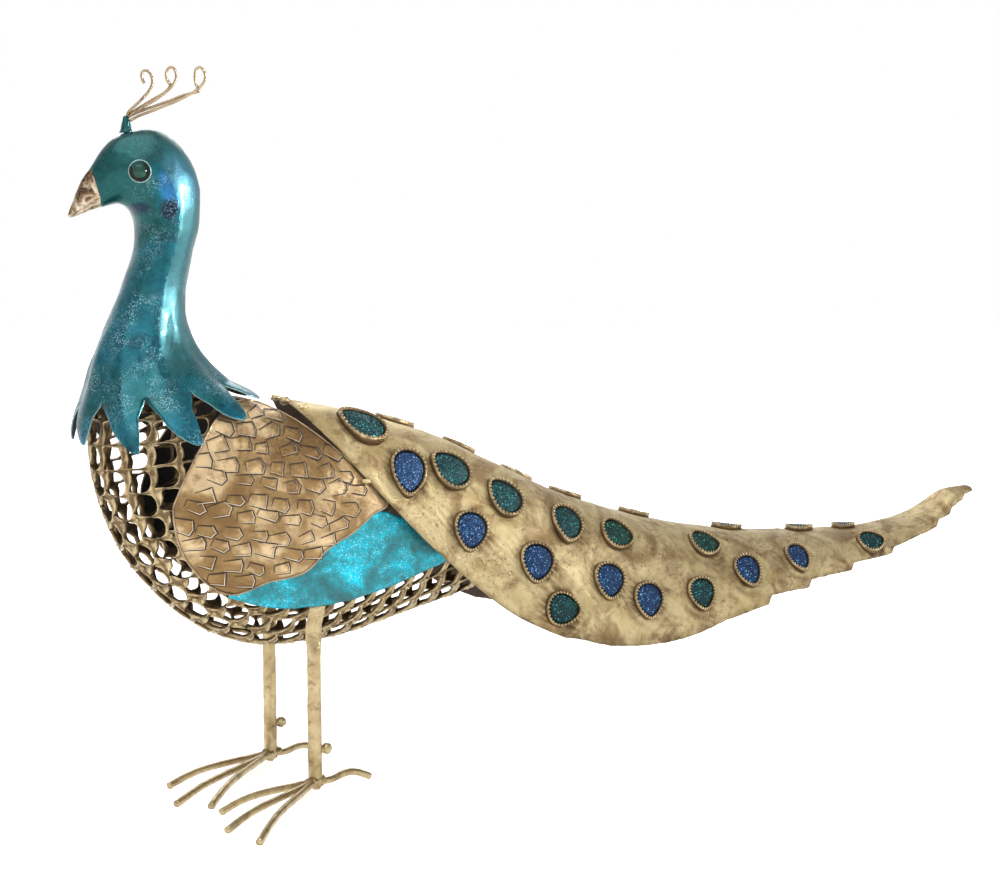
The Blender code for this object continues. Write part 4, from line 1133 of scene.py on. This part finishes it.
def skin_ribbon(form, line, side, width, lift, shift=0.0):
    """A narrow strip along a line of (x, z) points, laid on the wing."""
    points = []
    for (ax, az), (bx, bz) in zip(line, line[1:]):
        steps = max(2, int(hypot(bx - ax, bz - az) / (2.0 * MM)))
        points += [(ax + (bx - ax) * k / steps, az + (bz - az) * k / steps) for k in range(steps)]
    points.append(line[-1])
    verts = []
    for i, (x, z) in enumerate(points):
        ax, az = points[max(i - 1, 0)]
        bx, bz = points[min(i + 1, len(points) - 1)]
        length = hypot(bx - ax, bz - az) or 1.0
        nx, nz = -(bz - az) / length, (bx - ax) / length
        taper = 0.35 + 0.65 * sin(pi * min(max(i / (len(points) - 1), 0.08), 0.92))
        for s in (-0.5, 0.5):
            off = shift + s * width * taper
            px, pz = x + nx * off, z + nz * off
            verts.append(on_body(px, pz, side, lift))
    form.add(verts, [(2 * k, 2 * k + 1, 2 * k + 3, 2 * k + 2) for k in range(len(points) - 1)])


def make_wing(word, side, marks):
    """A bronze sheet with raised feather marks, cut lines along them drawn in painted shade, painted
    highlights on their lips and a folded rim.
    """
    cx, cz = WING_CENTRE[0] * MM, WING_CENTRE[1] * MM
    rim = in_metres(WING_OUTLINE, WING_STEPS, closed=True)
    centres = [(sum(p[0] for p in m) / len(m) * MM, sum(p[1] for p in m) / len(m) * MM) for m in marks]
    verts, shade_and_stain = [], []
    for ring in range(WING_RINGS):
        share = (ring + 1) / WING_RINGS
        for x, z in rim:
            px, pz = cx + (x - cx) * share, cz + (z - cz) * share
            near = min(hypot((px - a) * 0.8, pz - b) for a, b in centres)
            puff = 0.55 * MM * hump(near, 0, 5.2 * MM)
            dent = 0.9 * MM * rough((px, pz, side), 30 * MM) + 0.3 * MM * rough((px, pz, side), 9 * MM, 3)
            lift = WING_LIFT - 0.3 * MM + (puff + dent * 0.5)
            verts.append(on_body(px, pz, side, lift))
            # painted shade: darker along the edge and between the raised marks
            shade_and_stain.append(max(ease(0.955, 1.0, share) * 0.5, 0.35 * ease(5 * MM, 9 * MM, near) - 0.1))
    count = len(rim)
    faces = ring_faces(WING_RINGS, count)
    faces.append(tuple(range(count))[::-1])
    add_piece("wing_sheet_" + word, verts, faces, [BRONZE, BLACK, BRIGHT_EDGE_AND_HIGHLIGHT],
              ["wing_" + word], {"shade_and_stain": shade_and_stain}, WING_SHEET, (cx, 0, cz))
    cuts, lip_highlights = Form(), Form()
    for mark in marks:
        line = [(x * MM, z * MM) for x, z in mark]
        # painted shade for each cut groove, and a painted highlight strip beside it on the lip
        skin_ribbon(cuts, line, side, MARK_WIDTH, WING_LIFT + 0.62 * MM)
        skin_ribbon(lip_highlights, line[:4], side, MARK_WIDTH * 0.55, WING_LIFT + 0.66 * MM, MARK_WIDTH * 0.75)
    cuts.make("wing_cuts_" + word, [CUT], "wing_bronze")
    lip_highlights.make("wing_lip_highlights_" + word, [BRIGHT_EDGE_AND_HIGHLIGHT], "wing_bronze")
    fold = Form()
    edge = [on_body(x, z, side, WING_LIFT) for x, z in rim]
    fold.tube(edge + edge[:1], 0.9 * MM, 8, ends=False)
    fold.dented(0.35 * MM, 12 * MM, 6)
    fold.make("wing_fold_" + word, [WIRE_GOLD], "wing_bronze")


def make_flank(word, side):
    """A turquoise sheet below the wing, dented and with an uneven lower edge."""
    columns, rows = FLANK_COLUMNS, FLANK_ROWS
    lower = even_points(in_metres(FLANK_LOWER, 10), columns)
    upper = even_points(in_metres(FLANK_UPPER, 10), columns)
    verts = []
    for row in range(rows + 1):
        share = row / rows
        for (lx, lz), (ux, uz) in zip(lower, upper):
            x, z = lx + (ux - lx) * share, lz + (uz - lz) * share
            z += 0.8 * MM * rough((x, 0, 0), 10 * MM, 2) * (1 - share)
            lift = FLANK_LIFT + 0.6 * MM * rough((x, z, 0), 20 * MM, 8)
            lift += 0.25 * MM * rough((x, z, 0), 6 * MM, 5)
            verts.append(on_body(x, z, side, lift))
    faces = ring_faces(rows + 1, columns, closed=False)
    add_piece("flank_sheet_" + word, verts, faces, [TURQUOISE, BLACK, TURQUOISE],
              ["flank_" + word], None, FLANK_SHEET, (BODY_X, 0, BODY_Z))


# Tail train and its jewels

TRAIN_ALONG = 300
TRAIN_ROUND = 76
TRAIN_SHEET = 0.7 * MM
TRAIN_LIMIT = 104.8 * MM
PEAR_SIDES = 48
BEZEL_LEVELS = [(1.0, 2.0), (1.0, 3.6), (0.965, 4.3), (0.90, 4.2), (0.87, 3.3), (0.86, 1.6)]
# Darkness of the bezel's foot and of each level: painted shade at the foot on the sheet and on the inner wall
# by the stone
BEZEL_SHADE = (2.2, 0.9, 0.3, 0.9, 1.3, 2.2, 2.4)
RIM_TEETH = 30
RAY_LIFT = 0.03
STONE_RINGS = 11


def tooth_line():
    """Pairs of share along the lower edge and depth of the feather tooth there."""
    start, end = TAIL_FRONT_LINE[-1][0], TAIL_TOP_LINE[-1][0]
    line = [(0.0, 0.0), ((TEETH_FROM * MM - start) / (end - start), 0.0)]
    for number, tip in enumerate(TOOTH_TIPS):
        place = (tip * MM - start) / (end - start)
        line.append((place, TOOTH_DEPTH * MM * (1 - TOOTH_FADE * number / len(TOOTH_TIPS))))
        line.append((place + TOOTH_STEP, 0.0))
    line.append((1.0, 0.0))
    return line


def jewel_frame(side, place, degrees):
    """Where a jewel sits on the tail's even skin, with its along and outward directions."""
    step = 4 * MM
    x, angle = place * MM, side * radians(degrees)
    along = (tail_point(x + step, angle) - tail_point(x - step, angle)).normalized()
    down = tail_point(x, angle + side * 0.04) - tail_point(x, angle - side * 0.04)
    return tail_point(x, angle), along, (along.cross(down) * side).normalized()


def make_train():
    """The train, hammered in rings round its jewels, with a ragged feather edge."""
    spots = [(jewel_frame(side, place, degrees)[0], (length + breadth) / 4 * MM)
             for word, side in SIDES for place, degrees, length, breadth, _, _ in JEWELS[word]]
    teeth = tooth_line()
    end = TAIL_TOP_LINE[-1][0]
    verts, shade_and_stain = [], []
    starts = [tail_start(abs(TAIL_ARCH * (2 * j / TRAIN_ROUND - 1))) for j in range(TRAIN_ROUND + 1)]
    for i in range(TRAIN_ALONG + 1):
        share = i / TRAIN_ALONG
        depth = value_at(teeth, share)
        for j in range(TRAIN_ROUND + 1):
            turn = TAIL_ARCH * (2 * j / TRAIN_ROUND - 1)
            x = starts[j] + (end - starts[j]) * share
            point = tail_point(x, turn)
            near = (point - tail_point(x, turn + (0.02 if turn < 0 else -0.02))).normalized()
            out = near.cross(Vector((1, 0, 0)))
            out = out if out.dot(Vector((0, point.y, 0.05))) > 0 else -out
            ring = darkening = 0.0
            for spot, radius in spots:
                far = (point - spot).length / radius
                if far < 2.2:
                    ring -= 0.75 * hump(far, 1.38, 0.17)
                    ring += 0.30 * hump(far, 1.72, 0.14)
                    # painted shadow: a dark band on the sheet right round each bezel
                    darkening = max(darkening, 1 - ease(0.98, 1.22, far))
            fade = ease(0.0, 0.03, share) * (1 - 0.6 * ease(0.8, 1.0, share))
            wave = 1.0 * rough(point, 42 * MM, 1) + 0.4 * rough(point, 15 * MM, 2)
            point += out * ((ring + wave * fade) * MM)
            point.x = min(point.x, end - 0.1 * MM)
            point.y = max(-TRAIN_LIMIT, min(TRAIN_LIMIT, point.y))
            edge = (abs(turn) / TAIL_ARCH) ** 10
            point.z -= (depth + 0.7 * MM * rough((x, 0, 0), 7 * MM, 4)) * edge
            verts.append(point)
            # painted shade along the lower edges and the front edge, in the hammered dips round the jewels
            # and round the bezels
            rim = max(ease(0.93, 1.0, abs(turn) / TAIL_ARCH), 1 - ease(0.0, 0.015, share))
            shade_and_stain.append(max(0.75 * rim, min(max(-ring, 0.0), 1.0) * 0.35, darkening))
    faces = ring_faces(TRAIN_ALONG + 1, TRAIN_ROUND + 1, closed=False)
    return add_piece("train", verts, faces, [TRAIN_GOLD, INSIDE_SHADE_BROWN, TRAIN_GOLD],
                     ["tail_train"], {"shade_and_stain": shade_and_stain}, TRAIN_SHEET, (0, 0, 0))


def pear(length, breadth, turn, count):
    """A pear-shaped outline, pointed at one end; turn swings it on the surface."""
    outline = []
    for k in range(count):
        angle = 2 * pi * k / count
        point = max(cos(angle), 0.0) ** 3
        u = length / 2 * (cos(angle) + 0.05 * point)
        v = breadth / 2 * sin(angle) * (1 - 0.20 * cos(angle) - 0.10 * point)
        outline.append((u * cos(turn) - v * sin(turn), u * sin(turn) + v * cos(turn)))
    return outline


def make_jewels(train):
    """Every stone in its bezel: a wall down to the sheet, a rim of small teeth, and a druzy dome."""
    tree = tree_of(train.data, SHIFT)
    dice = random.Random(SEED)
    for word, side in SIDES:
        bezel = Form()
        stones = {colour: (Form(), []) for colour in STONES}
        for number, (place, degrees, length, breadth, turn, colour) in enumerate(JEWELS[word], 1):
            spot, along, out = jewel_frame(side, place, degrees)
            other = out.cross(along).normalized()
            outline = pear(length * MM, breadth * MM, radians(turn), PEAR_SIDES)

            def seat(u, v):
                start = spot + along * u + other * v + out * RAY_LIFT
                hit = tree.ray_cast(start, -out)[0]
                return hit if hit is not None else start - out * RAY_LIFT

            base = sum(((seat(u, v) - spot).dot(out) for u, v in outline[::6]), 0.0) / len(outline[::6])
            base = max(base, (seat(0, 0) - spot).dot(out) - 0.6 * MM)

            def level(share, height):
                return [spot + along * (u * share) + other * (v * share) + out * (base + height * MM)
                        for u, v in outline]

            foot = [seat(u * 1.04, v * 1.04) - out * 0.4 * MM for u, v in outline]
            wall = [foot] + [level(*step) for step in BEZEL_LEVELS]
            last = PEAR_SIDES * (len(wall) - 1)
            faces = ring_faces(len(wall), PEAR_SIDES)
            for k in range(PEAR_SIDES):
                d = (k + 1) % PEAR_SIDES
                faces.append((last + k, last + d, d, k))
            bezel.add([p for ring in wall for p in ring], faces,
                      [dirt_and_shade for dirt_and_shade in BEZEL_SHADE for _ in range(PEAR_SIDES)])
            make_rim_teeth(bezel, outline, spot + out * base, along, other, out, dice)
            form, nodes = stones[colour]
            add_stone(form, outline, spot + out * base, (along, other, out), dice)
            nodes.append(f"jewel_{word}_{number:02d}")
        for v in bezel.verts:
            v.y = min(v.y, TRAIN_LIMIT + 0.2 * MM)
        bezel.make("bezels_" + word, [BEZEL_GOLD], "tail_gold")
        for colour, (form, nodes) in stones.items():
            form.make(f"stones_{colour}_{word}", [STONES[colour]], "jewel_" + colour, nodes)


def make_rim_teeth(form, outline, spot, along, other, out, dice):
    """Short radial teeth all round the bezel's rim."""
    for k in range(RIM_TEETH):
        index = k / RIM_TEETH * len(outline)
        (au, av), (bu, bv) = outline[int(index)], outline[(int(index) + 1) % len(outline)]
        t = index - int(index)
        u, v = au + (bu - au) * t, av + (bv - av) * t
        away = (along * u + other * v).normalized()
        across = out.cross(away)
        middle = spot + along * (u * 0.93) + other * (v * 0.93) + out * 4.2 * MM
        high = dice.uniform(1.0, 1.5) * MM
        long, wide = 1.8 * MM, 0.85 * MM
        form.add([middle - away * long, middle + away * long, middle - across * wide, middle + across * wide,
                  middle + out * high, middle - out * 0.5 * MM],
                 [(0, 2, 4), (2, 1, 4), (1, 3, 4), (3, 0, 4), (2, 0, 5), (1, 2, 5), (3, 1, 5), (0, 3, 5)])


def add_stone(form, outline, spot, axes, dice):
    """A low dome of small crystals."""
    along, other, out = axes
    rings = STONE_RINGS
    offset = dice.uniform(0, 50)
    verts = []
    for ring in range(rings):
        share = 0.85 * (1 - ring / rings)
        dome = 3.1 + 2.2 * sin(ring / rings * pi / 2) if ring else 1.2
        for k, (u, v) in enumerate(outline):
            point = spot + along * (u * share) + other * (v * share)
            crystal = 0.55 * noise.cell(Vector(point) / (1.5 * MM)) + 0.35 * rough(point, 2.2 * MM, offset)
            verts.append(point + out * ((dome + crystal * 0.9 - 0.4) * MM if ring else 1.2 * MM))
    verts.append(spot + out * 5.1 * MM)
    faces = ring_faces(rings, len(outline))
    top = (rings - 1) * len(outline)
    faces += [(top + k, top + (k + 1) % len(outline), len(verts) - 1) for k in range(len(outline))]
    faces.append(tuple(range(len(outline)))[::-1])
    form.add(verts, faces)


# Legs and feet

ROD_STEPS = 23
TAB_STEPS = 12
TAB_HALF_BREADTH = 7.5 * MM
TAB_HALF_WALL = 1.3 * MM
TAB_DROP = (162 * MM, 163 * MM)
TOE_SHARE = 0.994
FRONT_TOE = [(0.0, TOE_LEVEL + 1.5 * MM), (0.12, TOE_LEVEL), (0.5, TOE_LEVEL + 0.6 * MM), (0.70, TOE_LEVEL),
             (0.86, TOE_LEVEL * 0.72), (1.0, TOE_RADIUS)]
BACK_TOE = [(0.0, TOE_LEVEL), (0.3, TOE_LEVEL * 0.8), (0.55, TOE_LEVEL * 1.1), (0.75, TOE_LEVEL),
            (1.0, TOE_RADIUS)]
SOLDER_SPOTS = ((-300, 4), (-288, 10), (-246, 39))


def make_leg(word, side):
    """A rod leg with a flattened tab, worn and slightly uneven."""
    x, y = LEG_PLACE[word][0] * MM, side * LEG_PLACE[word][1] * MM
    form = Form()
    path, sizes = [], []
    for k in range(ROD_STEPS + 1):
        path.append(Vector((x, y, LEG_FOOT - 6 * MM + (LEG_SHOULDER - LEG_FOOT + 6 * MM) * k / ROD_STEPS)))
        sizes.append((LEG_RADIUS, LEG_RADIUS))
    for k in range(1, TAB_STEPS + 1):
        share = k / TAB_STEPS
        z = LEG_SHOULDER + (TAB_TOP - LEG_SHOULDER) * share
        skin = side_of_body(x, z, 2.3 * MM)
        flat = ease(0.0, 0.35, share)
        path.append(Vector((x, side * max(skin, abs(y)), z)))
        tip = 1 - 0.35 * ease(0.85, 1.0, share)
        sizes.append((LEG_RADIUS + (TAB_HALF_BREADTH - LEG_RADIUS) * flat * tip,
                      LEG_RADIUS + (TAB_HALF_WALL - LEG_RADIUS) * flat))
    form.tube(path, sizes, 20)
    form.dented(0.45 * MM, 8 * MM, side)
    drop = Vector((x + 2 * MM, side * side_of_body(x, TAB_DROP[0], 2.5 * MM), TAB_DROP[1]))
    form.blob(drop, (5 * MM, 2 * MM, 4 * MM), 0.5, 16, 3 + side)
    form.make("shank_" + word, [GOLD], "antique_gold", ["leg_" + word])
    ball = Form()
    middle = Vector((x + LEG_RADIUS + SPUR_RADIUS * 0.9, y, SPUR_LEVEL))
    ball.blob(middle, (SPUR_RADIUS * 1.02, SPUR_RADIUS * 0.9, SPUR_RADIUS), 0.18, 18, side)
    ball.blob(middle - Vector((SPUR_RADIUS * 0.8, 0, 0)), (3 * MM, 3 * MM, 3.4 * MM), 0.4, 12, side + 5)
    ball.make("spur_drop_" + word, [GOLD], "antique_gold", ["spur_" + word])


def make_foot(word, side):
    """Toes of bent rod, run together by weld at the ankle."""
    ankle = Vector((LEG_PLACE[word][0] * MM, side * LEG_PLACE[word][1] * MM, 0))
    form = Form()
    for number, (dx, dy) in enumerate(TOES[word]):
        reach = Vector((dx, dy, 0)) * TOE_SHARE * MM
        crook = Vector((-reach.y, reach.x, 0)).normalized() * (1.5 * MM * (1 if number % 2 else -1))
        knots = FRONT_TOE if dx < 0 else BACK_TOE
        line = smooth_line([tuple(ankle + reach * s + crook * sin(pi * s) + UP * h) for s, h in knots], 6)
        path = [Vector(p) for p in line]
        form.tube(path, TOE_RADIUS, 14)
    form.dented(0.3 * MM, 7 * MM, side + 2)
    for k, (dx, dy) in enumerate(TOES[word]):
        reach = Vector((dx, dy, 0)).normalized()
        form.blob(ankle + reach * 6 * MM + UP * TOE_LEVEL, (5.2 * MM, 4.6 * MM, 4.2 * MM),
                  0.5, 14, k + side * 3)
    form.blob(ankle + UP * 9 * MM, (7.2 * MM, 7.0 * MM, 7.0 * MM), 0.35, 18, side)
    for v in form.verts:
        v.z = max(v.z, -SHIFT.z)
    form.make("claw_" + word, [GOLD], "antique_gold", ["foot_" + word])


def make_solder():
    """Drops of solder where the train meets the wings."""
    form = Form()
    for _, side in SIDES:
        for n, (x, turn) in enumerate(SOLDER_SPOTS):
            spot = tail_point(x * MM, side * radians(turn))
            form.blob(spot, (4.5 * MM, 3 * MM, 2.6 * MM), 0.6, 14, n + side * 4)
    form.make("solder", [BEZEL_GOLD], "tail_gold")


# Stage

PHOTO_WIDTH = 1000
FOCAL_PIXELS = 1526
EYE = Vector((-0.6748, -1.3246, 0.435))
AZIMUTH = radians(-24)
PITCH = radians(5.4)
SENSOR_WIDTH = 36.0
FLOOR_REACH = 20
FLOOR_GLOW = 0.62
SURROUND = [(0.24, (1.0, 1.0, 1.0, 1)), (0.60, (0.58, 0.58, 0.59, 1))]
WHITE = (1, 1, 1)
# Each panel's name, place, target, size, power, colour and spread in degrees
PANELS = [("key", (-1.7, -2.2, 2.3), (-0.1, 0, 0.25), (2.6, 2.0), 15, (1.0, 0.985, 0.96), 180),
          ("side", (1.3, -0.75, 0.85), (-0.38, 0, 0.55), (0.30, 0.5), 1.5, WHITE, 20),
          ("rim", (0.4, 2.4, 2.0), (0, 0, 0.3), (2.0, 0.8), 20, WHITE, 180)]
SUN_POWER = 1.5
SUN_ANGLE = radians(60)
SUN_TILT = (radians(12), radians(-14), 0)


def make_camera():
    camera = bpy.data.cameras.new("camera")
    camera.sensor_width = SENSOR_WIDTH
    camera.lens = camera.sensor_width * FOCAL_PIXELS / PHOTO_WIDTH
    camera.clip_end = 100.0
    eye = link("camera", camera)
    eye.location = EYE + SHIFT
    eye.rotation_euler = (pi / 2 - PITCH, 0, AZIMUTH)
    bpy.context.scene.camera = eye


def add_panel(name, place, target, size, power, colour, spread):
    lamp = bpy.data.lights.new(name, "AREA")
    lamp.spread = radians(spread)
    lamp.shape = "RECTANGLE"
    lamp.size, lamp.size_y = size
    lamp.energy = power
    lamp.color = colour
    light = link(name, lamp)
    light.location = place
    light.rotation_euler = (Vector(target) - Vector(place)).to_track_quat("-Z", "Y").to_euler()


def make_stage():
    """A pale floor, soft panels and a bright surround."""
    mesh = bpy.data.meshes.new("floor")
    corners = [(x * FLOOR_REACH, y * FLOOR_REACH, 0) for x, y in ((-1, -1), (1, -1), (1, 1), (-1, 1))]
    mesh.from_pydata(corners, [], [(0, 1, 2, 3)])
    floor = link("floor", mesh)
    f = Finish("floor_paper", (0.90, 0.90, 0.90), 0.9)
    f.set("Base Color", f.mix(f.noise(0.6, 2.0), (0.89, 0.89, 0.885), (0.91, 0.91, 0.905)))
    f.set("Emission Color", (1.0, 1.0, 1.0, 1.0))
    f.set("Emission Strength", FLOOR_GLOW)
    mesh.materials.append(f.mat)
    world = bpy.data.worlds.new("surround")
    bpy.context.scene.world = world
    world.use_nodes = True
    tree = world.node_tree
    shade = tree.nodes["Background"]
    place = tree.nodes.new("ShaderNodeTexCoord")
    split = tree.nodes.new("ShaderNodeSeparateXYZ")
    tree.links.new(place.outputs["Generated"], split.inputs[0])
    band = tree.nodes.new("ShaderNodeValToRGB")
    for element, (position, colour) in zip(band.color_ramp.elements, SURROUND):
        element.position, element.color = position, colour
    tree.links.new(split.outputs["Z"], band.inputs["Fac"])
    tree.links.new(band.outputs["Color"], shade.inputs["Color"])
    shade.inputs["Strength"].default_value = 1.0
    for panel in PANELS:
        add_panel(*panel)
    sun = bpy.data.lights.new("overhead", "SUN")
    sun.energy = SUN_POWER
    sun.angle = SUN_ANGLE
    link("overhead", sun).rotation_euler = SUN_TILT
    bpy.context.scene.view_settings.view_transform = "Standard"


make_neck()
make_bill()
make_eyes()
make_crest()
make_openwork()
MARKS = wing_marks()
for side_word, side_sign in SIDES:
    make_wing(side_word, side_sign, MARKS)
    for make in (make_flank, make_leg, make_foot):
        make(side_word, side_sign)
make_jewels(make_train())
make_solder()
make_camera()
make_stage()
